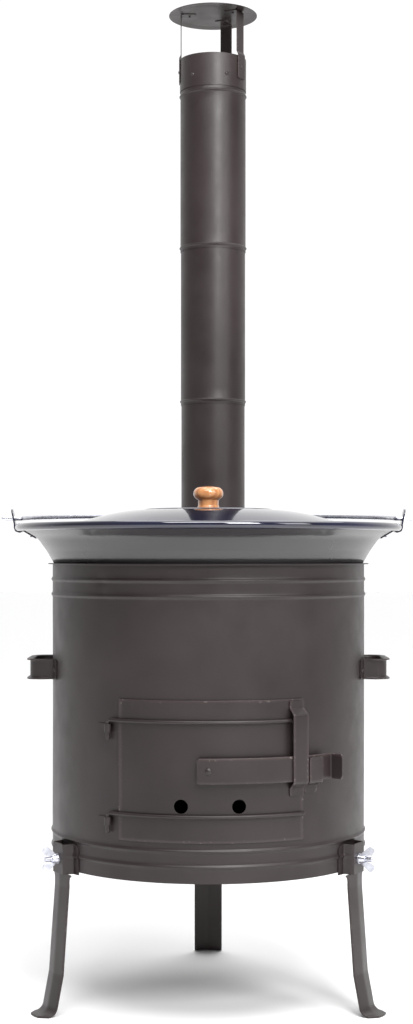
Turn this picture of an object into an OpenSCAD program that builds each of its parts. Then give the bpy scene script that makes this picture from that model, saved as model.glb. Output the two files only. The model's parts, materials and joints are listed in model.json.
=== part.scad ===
// Kettle stove: a round sheet-steel firebox on three legs, with an enamelled kettle and lid,
// a hinged fire door with a swinging latch bar, and a stovepipe with a rain cap.
// Millimetres, +Z up. The front, with the fire door, faces -Y. The floor is z = 0.

/* [Firebox] */
// Outside diameter of the firebox
body_d = 500; // [420:5:600]
// Height of the firebox sheet
body_h = 471; // [400:1:560]
// Height of the firebox above the floor
leg_h = 219; // [150:1:300]
// Sheet thickness of the firebox and the base plate
sheet = 1.5; // [1:0.1:2.5]
// Width of the flange turned out at the top
flange_w = 7; // [4:0.5:10]
// How far the rolled beads stand out
bead_h = 2; // [1:0.1:3]
// Width of a rolled bead
bead_w = 9; // [6:0.5:12]
// Height of the base plate above the lower edge
base_rise = 7; // [5:0.5:12]

/* [Fire door] */
// Length of the door round the firebox
door_w = 288; // [240:1:320]
// Height of the door
door_h = 210; // [170:1:240]
// Height of the door above the lower edge of the firebox
door_rise = 60; // [55:1:80]
// Thickness of the door
door_t = 2; // [1.5:0.1:3]
// Gap between the door and the firebox
door_gap = 0.8; // [0.4:0.1:2]
// How far the door overlaps the firebox mouth
door_lap = 20; // [12:1:30]
// Diameter of an air hole
air_d = 21; // [12:0.5:30]
// Distance between the air holes
air_spacing = 86; // [60:1:120]
// Height of the air holes above the bottom of the door
air_rise = 54; // [40:1:60]
// Diameter of the hinge rods
rod_d = 6; // [5:0.5:8]
// Height of the lower hinge rod above the bottom of the door
rod_low_rise = 39; // [25:1:42]
// Distance of the upper hinge rod below the top of the door
rod_high_drop = 32; // [28:1:36]
// Gap between the door's edge and the hinge pins
pin_gap = 18; // [16:0.5:30]
// Length of a hinge pin below its rod
pin_drop = 30; // [26:1:40]
// Bend radius of a hinge rod
rod_bend = 6; // [5:0.5:9]
// Height of a hinge eye
eye_h = 12; // [8:1:16]
// Wall of a hinge eye
eye_wall = 2.2; // [1.5:0.1:3]

/* [Latch] */
// Height of the latch bar
bar_h = 38; // [26:1:42]
// Thickness of the latch bar
bar_t = 3; // [2:0.5:5]
// Stand-off of the latch bar from the door
bar_gap = 7.2; // [6.5:0.1:9]
// Height of the latch pivot above the bottom of the door
pivot_rise = 107; // [100:1:112]
// Length of the latch bar left of its pivot
bar_tail = 17; // [12:1:30]
// Length of the latch bar right of its pivot
bar_reach = 205; // [190:1:230]
// Length of the handle turned out at the end of the bar
bar_handle = 22; // [12:1:35]
// Diameter of the latch rivet
rivet_d = 6; // [5:0.5:8]
// Width of the guide and of the catch hook
strap_w = 25; // [18:1:30]
// Thickness of the guide and of the catch hook
strap_t = 2.5; // [2:0.1:4]
// Clearance between the latch bar and the guide or the catch
bar_clear = 1.2; // [0.8:0.1:2.5]
// Height that the guide leaves above the latch bar
guide_room = 60; // [50:1:64]

/* [Side handles] */
// Height of the handle channel
grip_h = 32; // [25:1:50]
// Distance from the firebox to the face of the handle
grip_reach = 33; // [30:1:60]
// Half length of a handle
grip_half = 57; // [45:1:75]
// Thickness of the handle strip
grip_t = 2; // [1.5:0.1:3]
// Width of the lips along the handle
grip_lip = 5; // [3:0.5:9]
// Height of the handles below the top of the firebox
grip_drop = 167; // [120:1:200]
// Length of a handle foot on the firebox
grip_foot = 24; // [18:1:32]

/* [Legs] */
// Width of a leg
leg_w = 48; // [40:1:60]
// Radius of the fillets that widen a leg under its bracket
leg_fillet = 11; // [6:1:14]
// Thickness of a leg
leg_t = 3; // [2:0.5:5]
// Slope of each half of a leg's shallow V
leg_v = 8; // [4:1:12]
// Width of the tongue in the pocket
tongue_w = 30; // [24:1:32]
// Height of the bend in a leg
knee_z = 62; // [40:1:90]
// How far the bend stands out beyond the top of the leg
leg_lean = 10; // [4:1:20]
// How far the heel stands out beyond the bend
leg_splay = 12; // [6:1:30]
// Length of the foot
foot_len = 22; // [18:1:36]
// Size of the corners cut off a foot
foot_cut = 11; // [6:1:14]
// Height of the leg brackets
clip_h = 46; // [40:1:48]
// Width of the leg brackets
clip_w = 70; // [60:1:84]
// Width of the pocket in a leg bracket
pocket_w = 36; // [34:1:42]
// Depth of the pocket in a leg bracket
pocket_deep = 15; // [12:0.5:18]
// Thickness of a leg bracket
clip_t = 2; // [1.5:0.1:3]
// Diameter of the leg bolts
bolt_d = 8; // [6:1:10]
// Span of a wing nut
wing_span = 38; // [30:1:46]

/* [Kettle and lid] */
// How far the kettle rim stands out beyond the firebox
rim_reach = 54; // [44:1:70]
// Height of the rim above the firebox
rim_rise = 57; // [50:1:70]
// Diameter of the rolled rim
rim_bead_d = 12; // [8:0.5:14]
// Depth of the kettle below the top of the firebox
kettle_deep = 225; // [170:1:240]
// Wall of the kettle
kettle_wall = 2; // [1.5:0.1:3]
// Radius of the flat in the bottom of the kettle
kettle_flat = 40; // [20:1:80]
// Wall of the lid
lid_wall = 1.5; // [1:0.1:2.5]
// Height of the dome above the lid's lip
dome_h = 44; // [35:1:70]
// Radius of the flat on top of the lid
dome_flat = 102; // [60:1:120]
// Diameter of the bail wire
bail_d = 7; // [5:0.5:9]
// Height of the bail's pivots above the rim
bail_rise = 15; // [13:0.5:24]
// Angle at which the bail lies back above level
bail_tilt = 1.9; // [1:0.1:6]
// Width of a kettle lug
lug_w = 24; // [16:1:34]
// Diameter of the knob's head
knob_d = 48; // [36:1:60]
// Diameter of the knob's neck
neck_d = 33; // [22:1:35]
// Height of the knob
knob_h = 35; // [26:1:50]

/* [Stovepipe] */
// Outside diameter of the lowest pipe
pipe_d = 116.6; // [100:0.1:130]
// Wall of the pipes
pipe_wall = 0.8; // [0.5:0.1:1.5]
// Slip fit between one pipe and the next
slip = 0.1; // [0.05:0.05:0.3]
// Length of the lowest pipe that shows above the rim
pipe_1 = 225; // [180:1:300]
// Length of the middle pipe to its joint
pipe_2 = 282; // [200:1:400]
// Length of the top pipe to its joint
pipe_3 = 345; // [200:1:450]
// Length that one pipe goes into the next
pipe_lap = 40; // [25:1:60]
// Sideways offset of the stovepipe
flue_x = 9; // [-15:1:15]
// Gap between the kettle rim and the stovepipe
flue_gap = 34; // [25:1:60]
// Height of the flue hole below the top of the firebox
flue_drop = 115; // [100:1:150]
// Bend radius of the elbow
elbow_r = 98; // [80:1:110]
// Height of the rain cap's collar
collar_h = 59; // [40:1:80]
// Diameter of the rain cap
cap_d = 162; // [140:1:220]
// Height of the rain cap above its collar
cap_rise = 85; // [50:1:120]
// Width of a rain cap strap
stay_w = 23; // [14:1:28]

/* [Fire grate] */
// Diameter of the grate
grate_d = 430; // [300:5:440]
// Thickness of the grate
grate_t = 10; // [6:1:16]
// Height of the grate above the lower edge of the firebox
grate_rise = 128; // [110:1:135]
// Width of a grate slot
slot_w = 14; // [8:1:20]
// Width of a grate bar
rib_w = 13; // [8:1:20]

/* [Hidden] */
$fn = 96;
run = 0.05;                  // radial clearance of a part that turns on a pin
apart = 0.3;                 // gap between parts that only rest on each other
weld = 0.3;                  // how deep a welded strip sinks into its neighbour
body_r = body_d / 2;
body_in = body_r - sheet;
body_z = leg_h;
body_top = leg_h + body_h;
bead_zs = [body_z + 24, body_z + 47, body_top - 49, body_top - 25];

door_r = body_r + door_gap;
door_out = door_r + door_t;
door_z = body_z + door_rise;
door_turn = 1;               // the door sits one degree to the right
door_half = arc_deg(door_w / 2, body_r);
door_left = door_turn - door_half;
door_right = door_turn + door_half;
rod_r = rod_d / 2;
rod_path_r = door_out + rod_r - weld;
rod_zs = [door_z + rod_low_rise, door_z + door_h - rod_high_drop];
rod_start = door_left - arc_deg(pin_gap - rod_bend, body_r);
bar_in = door_out + bar_gap;
bar_out = bar_in + bar_t;
pivot_z = door_z + pivot_rise;
bar_low = pivot_z - bar_h / 2;
bar_high = pivot_z + bar_h / 2;
strap_in = bar_out + bar_clear;
strap_deg = arc_deg(strap_w, body_r);
strap_foot = 12;
spacer_r = rivet_d / 2 + 4;
head_r = rivet_d / 2 + 2.5;

clip_top = body_z + clip_h - 4;
clip_low = clip_top - clip_h;
bolt_z = body_z + 18;
bolt_r = bolt_d / 2;
clip_in = body_r + pocket_deep;
clip_out = clip_in + clip_t;
washer_t = 2;
nut_base = clip_out + washer_t + apart;
leg_angles = [-60, 60, 180];
leg_face = clip_in - 0.8;    // outer face of the leg's ridge in the pocket
heel_bend = 6;

neck_r = body_in - 2.5;
rim_r = body_r + rim_reach;
rim_z = body_top + rim_rise;
bead_r = rim_bead_d / 2;
flare = [
    [neck_r, body_top - 3.8],
    [body_in + 10.5, body_top + 19],
    [rim_r - 31, body_top + rim_rise - 16],
    [rim_r - bead_r / 2, rim_z - bead_r * 2 / 3],
];
bowl_top = body_top - 12;
bowl_h = bowl_top - (body_top - kettle_deep);
flare_run = (flare[2][0] - flare[1][0]) / (flare[2][1] - flare[1][1]);
flare_in = kettle_wall * sqrt(1 + flare_run * flare_run);
lid_lip_z = rim_z - 22;
lid_r = flare[1][0] + (lid_lip_z - flare[1][1]) * flare_run - flare_in - apart;
lid_top = lid_lip_z + 8 + dome_h;
bail_z = rim_z + bail_rise;
bail_r = rim_r - 2;
lug_t = 2.5;
lug_top = bail_z + 15;
bail_end = rim_r + bead_r + 23;

ods = [for (i = [0:5]) pipe_d / 2 + (i - 2) * (pipe_wall + slip)];  // stub, elbow, three pipes, collar
flue_z = body_top - flue_drop;
flue_y = rim_r + bead_r + flue_gap + ods[4];
joint_zs = [flue_z + elbow_r, rim_z + pipe_1 + 6, rim_z + pipe_1 + pipe_2 + 6];
pipe_top = joint_zs[2] + pipe_3;
collar_low = pipe_top - collar_h + 8;
collar_top = collar_low + collar_h;
cap_z = collar_top + cap_rise;
stay_t = 1.5;
stay_angles = [-90, 57, 155];
screw_angles = [-38, 24];
grate_z = body_z + grate_rise;
shelf_t = 2.5;

// The origin is below the middle of the whole stove
axis_y = -(flue_y + cap_d / 2 - rim_r - bead_r) / 2;

// ---- helpers ----

// Angle that an arc of this length takes at this radius
function arc_deg(length, radius) = length / radius * 180 / PI;

// Unit normal on the right-hand side of a step from a to b
function side_of(a, b) = [b[1] - a[1], a[0] - b[0]] / norm(b - a);

// Offset of point i of a path, so that the strip keeps its thickness round the corner
function corner(p, i, t) =
    i == 0 ? t * side_of(p[0], p[1])
    : i == len(p) - 1 ? t * side_of(p[i - 1], p[i])
    : let (a = side_of(p[i - 1], p[i]), b = side_of(p[i], p[i + 1]))
        t * (a + b) / (1 + a * b);

// Outline of a strip of thickness t on the right-hand side of a path
function band(p, t) = concat(p, [for (i = [len(p) - 1:-1:0]) p[i] + corner(p, i, t)]);

// Outside of the firebox sheet from z0 to z1, with the beads that lie between
function wall_path(z0, z1) = concat(
    [[body_r, z0]],
    [for (zc = bead_zs) if (zc - bead_w / 2 > z0 && zc + bead_w / 2 < z1)
        for (k = [0:6]) [body_r + bead_h * (1 - cos(60 * k)) / 2, zc + bead_w * (k / 6 - 0.5)]],
    [[body_r, z1]]
);

// Moves a part from the firebox axis to its place over the origin
module placed() {
    translate([0, axis_y, 0]) children();
}

// Turns a part from the front of the firebox round to an angle, to the right
module around(angle) {
    rotate([0, 0, angle]) children();
}

// Sweeps a radius-and-height profile round the firebox from one angle to another
module arc_sweep(from, to) {
    rotate([0, 0, from - 90]) rotate_extrude(angle = to - from) children();
}

// Extrudes a radius-and-height profile sideways, centred on the front
module side_profile(w) {
    rotate([90, 0, -90]) translate([0, 0, -w / 2]) linear_extrude(w) children();
}

// Extrudes a front outline outwards from one radius to another
module front_outline(r0, r1) {
    translate([0, -r0, 0]) rotate([90, 0, 0]) linear_extrude(r1 - r0) children();
}

// A round bar at the front, pointing outwards
module radial_bar(r0, r1, z, radius) {
    translate([0, -r0, z]) rotate([90, 0, 0]) cylinder(h = r1 - r0, r = radius);
}

// A tube with its lower end at z
module tube(z, h, outer, inner) {
    translate([0, 0, z]) difference() {
        cylinder(h = h, r = outer);
        translate([0, 0, -1]) cylinder(h = h + 2, r = inner);
    }
}

// A round rivet head on the front, growing outwards from radius r0
module rivet_head(r0, z, radius, h) {
    ball = (radius * radius + h * h) / (2 * h);
    translate([0, -r0, z]) rotate([90, 0, 0]) intersection() {
        translate([0, 0, h - ball]) sphere(r = ball);
        cylinder(h = h, r = radius);
    }
}

// ---- firebox ----

module stove_body() {
    color("#433c39") placed() difference() {
        rotate_extrude() polygon(band(concat(
            wall_path(body_z, body_top - sheet),
            [[body_r + flange_w, body_top - sheet]]
        ), -sheet));
        arc_sweep(door_left + arc_deg(door_lap, body_r), door_right - arc_deg(door_lap, body_r))
            translate([body_in - 5, door_z + door_lap]) square([sheet + 10, door_h - 2 * door_lap]);
        translate([flue_x, 0, flue_z]) rotate([-90, 0, 0]) cylinder(h = body_r + 10, r = ods[0]);
        for (angle = leg_angles) around(angle) radial_bar(body_in - 5, body_r + 10, bolt_z, bolt_r);
        for (angle = grip_rivet_angles()) around(angle)
            radial_bar(body_in - 5, body_r + 5, grip_z(), grip_rivet_r());
    }
}

module base_plate() {
    plate_z = body_z + base_rise;
    color("#3b3634") placed() rotate_extrude() polygon(band([
        [0, plate_z], [body_in - sheet, plate_z], [body_in - sheet, plate_z - base_rise + 1],
    ], -sheet));
}

module grate_supports() {
    color("#3b3634") placed() for (angle = leg_angles) around(angle) {
        half = arc_deg(20, body_r);
        arc_sweep(-half, half) polygon(band([
            [body_in - shelf_t, grate_z - 30], [body_in - shelf_t, grate_z - shelf_t - apart],
            [grate_d / 2 - 12, grate_z - shelf_t - apart],
        ], shelf_t));
    }
}

module fire_grate() {
    pitch = slot_w + rib_w;
    rim = 18;
    rows = floor((grate_d / 2 - rim - slot_w / 2) / pitch);
    color("#2f2c2b") placed() translate([0, 0, grate_z]) linear_extrude(grate_t) difference() {
        circle(d = grate_d);
        for (i = [-rows:rows]) {
            half = sqrt(pow(grate_d / 2 - rim, 2) - pow(abs(i) * pitch + slot_w / 2, 2));
            for (s = [-1, 1]) translate([i * pitch - slot_w / 2, s > 0 ? rib_w / 2 : -half])
                square([slot_w, half - rib_w / 2]);
        }
    }
}

// ---- fire door ----

module door_panel() {
    color("#3f3835") placed() difference() {
        arc_sweep(door_left, door_right) translate([door_r, door_z]) square([door_t, door_h]);
        for (s = [-1, 1]) around(door_turn / 2 + s * arc_deg(air_spacing / 2, door_out))
            radial_bar(door_r - 5, door_out + 5, door_z + air_rise, air_d / 2);
        radial_bar(door_r - 5, door_out + 5, pivot_z, rivet_d / 2);
    }
}

// One hinge rod along the door, bent down at its left end into a pin
module hinge_rod(z, end) {
    color("#3a3431") placed() {
        arc_sweep(rod_start, end) translate([rod_path_r, z]) circle(r = rod_r);
        around(rod_start) {
            translate([0, -rod_path_r, z - rod_bend]) rotate([90, 0, 0]) rotate([0, 0, 90])
                rotate_extrude(angle = 90) translate([rod_bend, 0]) circle(r = rod_r);
            translate([-rod_bend, -rod_path_r, z - pin_drop])
                cylinder(h = pin_drop - rod_bend, r = rod_r);
        }
    }
}

module hinge_rod_upper() {
    hinge_rod(rod_zs[1], door_right - 1);
}

module hinge_rod_lower() {
    hinge_rod(rod_zs[0], door_right);
}

module hinge_eyes() {
    eye_r = rod_r + run + eye_wall;
    color("#3a3431") placed() for (z = rod_zs) around(rod_start) {
        low = z - rod_bend - apart - eye_h;
        difference() {
            union() {
                translate([-rod_bend, -rod_path_r, low]) cylinder(h = eye_h, r = eye_r);
                arc_sweep(-arc_deg(rod_bend + 22, body_r), -arc_deg(rod_bend, body_r))
                    translate([body_r, low]) square([strap_t, eye_h]);
            }
            translate([-rod_bend, -rod_path_r, low - 1]) cylinder(h = eye_h + 2, r = rod_r + run);
            translate([0, 0, low - 1]) cylinder(h = eye_h + 2, r = body_r);
        }
    }
}

// ---- latch ----

module latch_bar() {
    tail = -arc_deg(bar_tail, bar_in);
    tip = arc_deg(bar_reach, bar_in);
    color("#38322f") placed() difference() {
        union() {
            arc_sweep(tail, tip) translate([bar_in, bar_low]) square([bar_t, bar_h]);
            arc_sweep(tip - arc_deg(bar_t, bar_in), tip)
                translate([bar_in, bar_low]) square([bar_t + bar_handle, bar_h]);
        }
        radial_bar(bar_in - 5, bar_out + 5, pivot_z, rivet_d / 2 + run);
    }
}

module latch_rivet() {
    color("#4a4542") placed() {
        radial_bar(door_r - 2, bar_out + apart + 1, pivot_z, rivet_d / 2);
        difference() {
            radial_bar(door_r - 2.5, door_r, pivot_z, head_r);
            translate([0, 0, pivot_z - head_r - 1]) tube(0, 2 * head_r + 2, door_out, door_r);
        }
        rivet_head(bar_out + apart, pivot_z, head_r, 2.8);
    }
}

module latch_spacer() {
    color("#4a4542") placed() difference() {
        radial_bar(door_r, bar_in - apart, pivot_z, spacer_r);
        radial_bar(door_r - 1, bar_in + 1, pivot_z, rivet_d / 2);
        translate([0, 0, pivot_z - spacer_r - 1])
            cylinder(h = 2 * spacer_r + 2, r = door_out, $fn = 360);
    }
}

module latch_guide() {
    rise = 0.8 * (strap_in - door_out);
    low = bar_low - 1;
    high = bar_high + guide_room;
    color("#3a3431") placed() arc_sweep(door_right - strap_deg, door_right) polygon(band([
        [door_out, low - rise - strap_foot], [door_out, low - rise], [strap_in, low],
        [strap_in, high], [door_out, high + rise], [door_out, high + rise + strap_foot],
    ], strap_t));
}

module latch_catch() {
    start = door_right + arc_deg(2, body_r);
    low = bar_low - 1.5;
    rise = 6;
    color("#3a3431") placed() arc_sweep(start, start + strap_deg) polygon(band([
        [body_r, low - rise - strap_foot], [body_r, low - rise], [strap_in, low], [strap_in, bar_high - 3],
    ], strap_t));
}

// ---- side handles ----

function grip_z() = body_top - grip_drop;
function grip_rivet_r() = 2.5;
function grip_end_deg() = asin(grip_half / body_r);
function grip_rivet_angles() = [
    for (s = [-1, 1]) for (t = [-1, 1]) s * 90 + t * (grip_end_deg() + arc_deg(grip_foot / 2, body_r))
];

// Bow of a handle at the front: out from the firebox, along and back
function grip_path() = let (
    out = body_r + grip_reach - grip_t, end_y = body_r * cos(grip_end_deg()), r = 14
) concat(
    [[-grip_half, -end_y + 1]],
    [for (k = [0:4]) [-grip_half + 6 + r * (1 - cos(22.5 * k)), -out + r * (1 - sin(22.5 * k))]],
    [for (k = [4:-1:0]) [grip_half - 6 - r * (1 - cos(22.5 * k)), -out + r * (1 - sin(22.5 * k))]],
    [[grip_half, -end_y + 1]]
);

module side_handle(angle) {
    low = grip_z() - grip_h / 2;
    end = grip_end_deg();
    foot = arc_deg(grip_foot, body_r);
    color("#3d3633") placed() around(angle) {
        difference() {
            union() {
                translate([0, 0, low]) linear_extrude(grip_h) polygon(band(grip_path(), grip_t));
                for (z = [low, low + grip_h - grip_t]) translate([0, 0, z])
                    linear_extrude(grip_t) polygon(band(grip_path(), grip_t + grip_lip));
            }
            translate([0, 0, low - 1]) cylinder(h = grip_h + 2, r = body_r);
        }
        for (s = [-1, 1]) difference() {
            arc_sweep(s > 0 ? end - 0.6 : -end - foot, s > 0 ? end + foot : -end + 0.6)
                translate([body_r, low]) square([grip_t, grip_h]);
            around(s * (end + foot / 2)) radial_bar(body_r - 5, body_r + 9, grip_z(), grip_rivet_r());
        }
    }
}

module side_handle_left() {
    side_handle(-90);
}

module side_handle_right() {
    side_handle(90);
}

module handle_rivets() {
    color("#4a4542") placed() for (angle = grip_rivet_angles()) around(angle) {
        radial_bar(body_in - 1, body_r + grip_t + 1, grip_z(), grip_rivet_r());
        rivet_head(body_r + grip_t, grip_z(), grip_rivet_r() + 2.5, 2.2);
        radial_bar(body_in - 1.5, body_in - 0.1, grip_z(), grip_rivet_r() + 1.5);
    }
}

// ---- legs ----

// Outer face of a leg, from the tip of the foot up into its bracket
function leg_path() = let (knee_r = leg_face + leg_lean, heel_r = knee_r + leg_splay) [
    [heel_r + foot_len, leg_t], [heel_r + heel_bend, leg_t],
    [heel_r + heel_bend / 4, leg_t + heel_bend / 2], [heel_r - heel_bend / 4, leg_t + heel_bend * 3 / 2],
    [knee_r, knee_z], [leg_face, clip_low - 4], [leg_face, clip_top - 2],
];

// Half width of a leg at a depth below its shoulder, with fillets that are quarter circles
function leg_half(depth) = leg_w / 2 + leg_fillet - sqrt(pow(leg_fillet, 2) - pow(leg_fillet - depth, 2));

module leg(angle) {
    tip_r = leg_path()[0][0];
    ridge_r = tip_r + 10;
    shoulder = clip_low - 2;
    steps = 5;
    half_outline = concat(
        [[0, -1], [leg_w / 2, -1]],
        [for (k = [steps:-1:0]) [leg_half(leg_fillet * k / steps), shoulder - leg_fillet * k / steps]],
        [[tongue_w / 2, shoulder], [tongue_w / 2, clip_top], [0, clip_top]]
    );
    color("#3d3633") placed() around(angle) difference() {
        intersection() {
            for (s = [-1, 1]) intersection() {
                translate([0, -ridge_r, 0]) rotate([0, 0, s * leg_v]) translate([0, ridge_r, 0])
                    side_profile(leg_w + 60) polygon(band(leg_path(), -leg_t));
                translate([s > 0 ? 0 : -leg_w, -ridge_r - 20, -1]) cube([leg_w, ridge_r, clip_top + 10]);
            }
            front_outline(body_r - 20, ridge_r + 20) for (s = [0, 1]) mirror([s, 0])
                polygon(half_outline);
        }
        radial_bar(body_r - 20, clip_out + 10, bolt_z, bolt_r);
        for (s = [-1, 1]) translate([s * leg_w / 2, -tip_r, -1]) rotate([0, 0, 45])
            translate([-foot_cut, -foot_cut, 0] / sqrt(2)) cube([foot_cut * sqrt(2), foot_cut * sqrt(2), 30]);
    }
}

module leg_front_left() {
    leg(leg_angles[0]);
}

module leg_front_right() {
    leg(leg_angles[1]);
}

module leg_rear() {
    leg(leg_angles[2]);
}

module leg_bracket(angle) {
    half = arc_deg(clip_w / 2, body_r);
    inner = arc_deg(pocket_w / 2 - 1, body_r);
    nick = 10;
    color("#38312e") placed() around(angle) difference() {
        intersection() {
            union() {
                for (s = [-1, 1]) arc_sweep(s > 0 ? inner : -half, s > 0 ? half : -inner)
                    polygon(band(wall_path(clip_low, clip_top), clip_t));
                difference() {
                    translate([0, 0, clip_low]) linear_extrude(clip_h) polygon(band([
                        [-pocket_w / 2 - 1.3, -body_r], [-pocket_w / 2 + 1, -clip_in],
                        [pocket_w / 2 - 1, -clip_in], [pocket_w / 2 + 1.3, -body_r],
                    ], clip_t));
                    for (zc = bead_zs) translate([0, 0, zc - bead_w / 2 - 0.2])
                        cylinder(h = bead_w + 0.4, r = body_r + bead_h + run);
                }
            }
            front_outline(body_r - 20, clip_out + 10) polygon([
                [-clip_w, clip_low - 1], [clip_w, clip_low - 1], [clip_w / 2, clip_top - nick],
                [clip_w / 2 - nick, clip_top + 1], [-clip_w / 2 + nick, clip_top + 1],
                [-clip_w / 2, clip_top - nick],
            ]);
        }
        radial_bar(body_r - 20, clip_out + 10, bolt_z, bolt_r);
    }
}

module leg_bracket_front_left() {
    leg_bracket(leg_angles[0]);
}

module leg_bracket_front_right() {
    leg_bracket(leg_angles[1]);
}

module leg_bracket_rear() {
    leg_bracket(leg_angles[2]);
}

module leg_bolts() {
    color("#8d8b88") placed() for (angle = leg_angles) around(angle) {
        radial_bar(body_in - 1, nut_base + 20, bolt_z, bolt_r);
        translate([0, -body_in + 0.3, bolt_z]) rotate([-90, 0, 0]) cylinder(h = 5, r = bolt_d * 0.9, $fn = 6);
    }
}

module leg_washers() {
    color("#8d8b88") placed() for (angle = leg_angles) around(angle) difference() {
        radial_bar(clip_out, clip_out + washer_t, bolt_z, bolt_d);
        radial_bar(clip_out - 1, clip_out + washer_t + 1, bolt_z, bolt_r);
    }
}

module wing_nut(angle) {
    hub_h = 9;
    ear_r = 6.5;
    ear_x = wing_span / 2 - ear_r;
    color("#a9a7a2") placed() around(angle) translate([0, -nut_base, bolt_z]) rotate([0, 90, 0])
    difference() {
        union() {
            rotate([90, 0, 0]) cylinder(h = hub_h, r1 = bolt_d * 0.95, r2 = bolt_d * 0.72);
            for (s = [0, 1]) mirror([s, 0, 0]) translate([0, 0, -1.4]) linear_extrude(2.8) {
                translate([ear_x, -17]) circle(r = ear_r);
                polygon([
                    [bolt_r, -1], [bolt_d * 0.9, -1], [ear_x + 6, -14.5],
                    [ear_x - 5, -21.1], [bolt_r, -8.5],
                ]);
            }
        }
        rotate([90, 0, 0]) translate([0, 0, -1]) cylinder(h = 30, r = bolt_r + run);
    }
}

module wing_nut_front_left() {
    wing_nut(leg_angles[0]);
}

module wing_nut_front_right() {
    wing_nut(leg_angles[1]);
}

module wing_nut_rear() {
    wing_nut(leg_angles[2]);
}

// ---- stovepipe ----

// Puts a part on the axis of the stovepipe
module on_flue() {
    translate([flue_x, axis_y + flue_y, 0]) children();
}

// A pipe from z0 to z1 with rolled beads at the heights given
module pipe(radius, z0, z1, beads) {
    rotate_extrude() polygon(band(concat(
        [[radius, z0]],
        [for (zc = beads) for (k = [0:4]) [radius + 0.9 * (1 - cos(90 * k)), zc + 6 * (k / 4 - 0.5)]],
        [[radius, z1]]
    ), -pipe_wall));
}

module flue_stub() {
    color("#39322f") placed() difference() {
        translate([flue_x, 0, flue_z]) rotate([-90, 0, 0])
            tube(body_r - 40, flue_y - elbow_r - body_r + 36, ods[0], ods[0] - pipe_wall);
        translate([0, 0, flue_z - pipe_d]) cylinder(h = 2 * pipe_d, r = body_in);
    }
}

module elbow() {
    start = flue_y - elbow_r;
    color("#39322f") translate([flue_x, axis_y, 0]) difference() {
        union() {
            translate([0, start - 42, flue_z]) rotate([-90, 0, 0]) cylinder(h = 42, r = ods[1]);
            translate([0, start, flue_z + elbow_r]) rotate([90, 0, 90]) rotate([0, 0, -90])
                rotate_extrude(angle = 90) translate([elbow_r, 0]) circle(r = ods[1]);
            translate([0, flue_y, flue_z + elbow_r]) cylinder(h = pipe_lap, r = ods[1]);
        }
        translate([0, start - 43, flue_z]) rotate([-90, 0, 0]) cylinder(h = 43, r = ods[1] - pipe_wall);
        translate([0, start, flue_z + elbow_r]) rotate([90, 0, 90]) rotate([0, 0, -90])
            rotate_extrude(angle = 90) translate([elbow_r, 0]) circle(r = ods[1] - pipe_wall);
        translate([0, flue_y, flue_z + elbow_r]) cylinder(h = pipe_lap + 1, r = ods[1] - pipe_wall);
    }
}

module pipe_lower() {
    color("#453d3a") on_flue() pipe(ods[2], joint_zs[0], joint_zs[1] + pipe_lap, [joint_zs[0] + 7]);
}

module pipe_middle() {
    color("#453d3a") on_flue() pipe(ods[3], joint_zs[1], joint_zs[2] + pipe_lap, [joint_zs[1] + 7]);
}

module pipe_upper() {
    color("#453d3a") on_flue() difference() {
        pipe(ods[4], joint_zs[2], pipe_top, [joint_zs[2] + 7, collar_low - 8]);
        for (angle = screw_angles) around(angle) radial_bar(ods[4] - 5, ods[5] + 5, screw_z(), screw_r());
    }
}

// ---- rain cap ----

function screw_z() = collar_low + 22;
function screw_r() = 1.6;
function stay_rivet_z() = collar_low + 38;

module cap_collar() {
    color("#443c39") on_flue() difference() {
        tube(collar_low, collar_h, ods[5], ods[5] - pipe_wall);
        for (angle = screw_angles) around(angle) radial_bar(ods[4] - 5, ods[5] + 5, screw_z(), screw_r());
        for (angle = stay_angles) around(angle)
            radial_bar(ods[4] - 5, ods[5] + 5, stay_rivet_z(), screw_r());
    }
}

module collar_screws() {
    color("#55504d") on_flue() for (angle = screw_angles) around(angle) {
        radial_bar(ods[4] - 4, ods[5] + 1, screw_z(), screw_r());
        rivet_head(ods[5], screw_z(), screw_r() + 2, 2);
    }
}

module cap_stay(angle) {
    under = cap_z - pipe_wall - stay_t;
    color("#3c3532") on_flue() around(angle) difference() {
        side_profile(stay_w) polygon(band([
            [ods[5], collar_low + 17], [ods[5], collar_top + 2], [ods[5] - 3, collar_top + 8],
            [ods[5] - 3, under], [ods[5] - 30, under],
        ], stay_t));
        radial_bar(ods[5] - 5, ods[5] + 5, stay_rivet_z(), screw_r());
        translate([0, -ods[5] + 18, under - 1]) cylinder(h = 5, r = screw_r());
    }
}

module cap_stay_left() {
    cap_stay(stay_angles[0]);
}

module cap_stay_right() {
    cap_stay(stay_angles[1]);
}

module cap_stay_rear() {
    cap_stay(stay_angles[2]);
}

module cap_disc() {
    color("#4a413e") on_flue() difference() {
        rotate_extrude() polygon(band([
            [0, cap_z], [cap_d / 2 - 16, cap_z], [cap_d / 2, cap_z - 2],
        ], pipe_wall));
        for (angle = stay_angles) around(angle)
            translate([0, -ods[5] + 18, cap_z - 5]) cylinder(h = 10, r = screw_r());
    }
}

module cap_rivets() {
    color("#55504d") on_flue() for (angle = stay_angles) around(angle) {
        radial_bar(ods[5] - pipe_wall, ods[5] + stay_t + 1, stay_rivet_z(), screw_r());
        rivet_head(ods[5] + stay_t, stay_rivet_z(), screw_r() + 1.8, 1.6);
        translate([0, -ods[5] + 18, cap_z - 4.5]) cylinder(h = 5, r = screw_r());
        translate([0, -ods[5] + 18, cap_z]) cylinder(h = 1.5, r1 = screw_r() + 2, r2 = screw_r() + 0.6);
    }
}

// ---- kettle ----

// Height of the kettle's underside at a radius under the rim
function flare_z(radius) = flare[2][1]
    + (radius - flare[2][0]) * (flare[3][1] - flare[2][1]) / (flare[3][0] - flare[2][0]);

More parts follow.
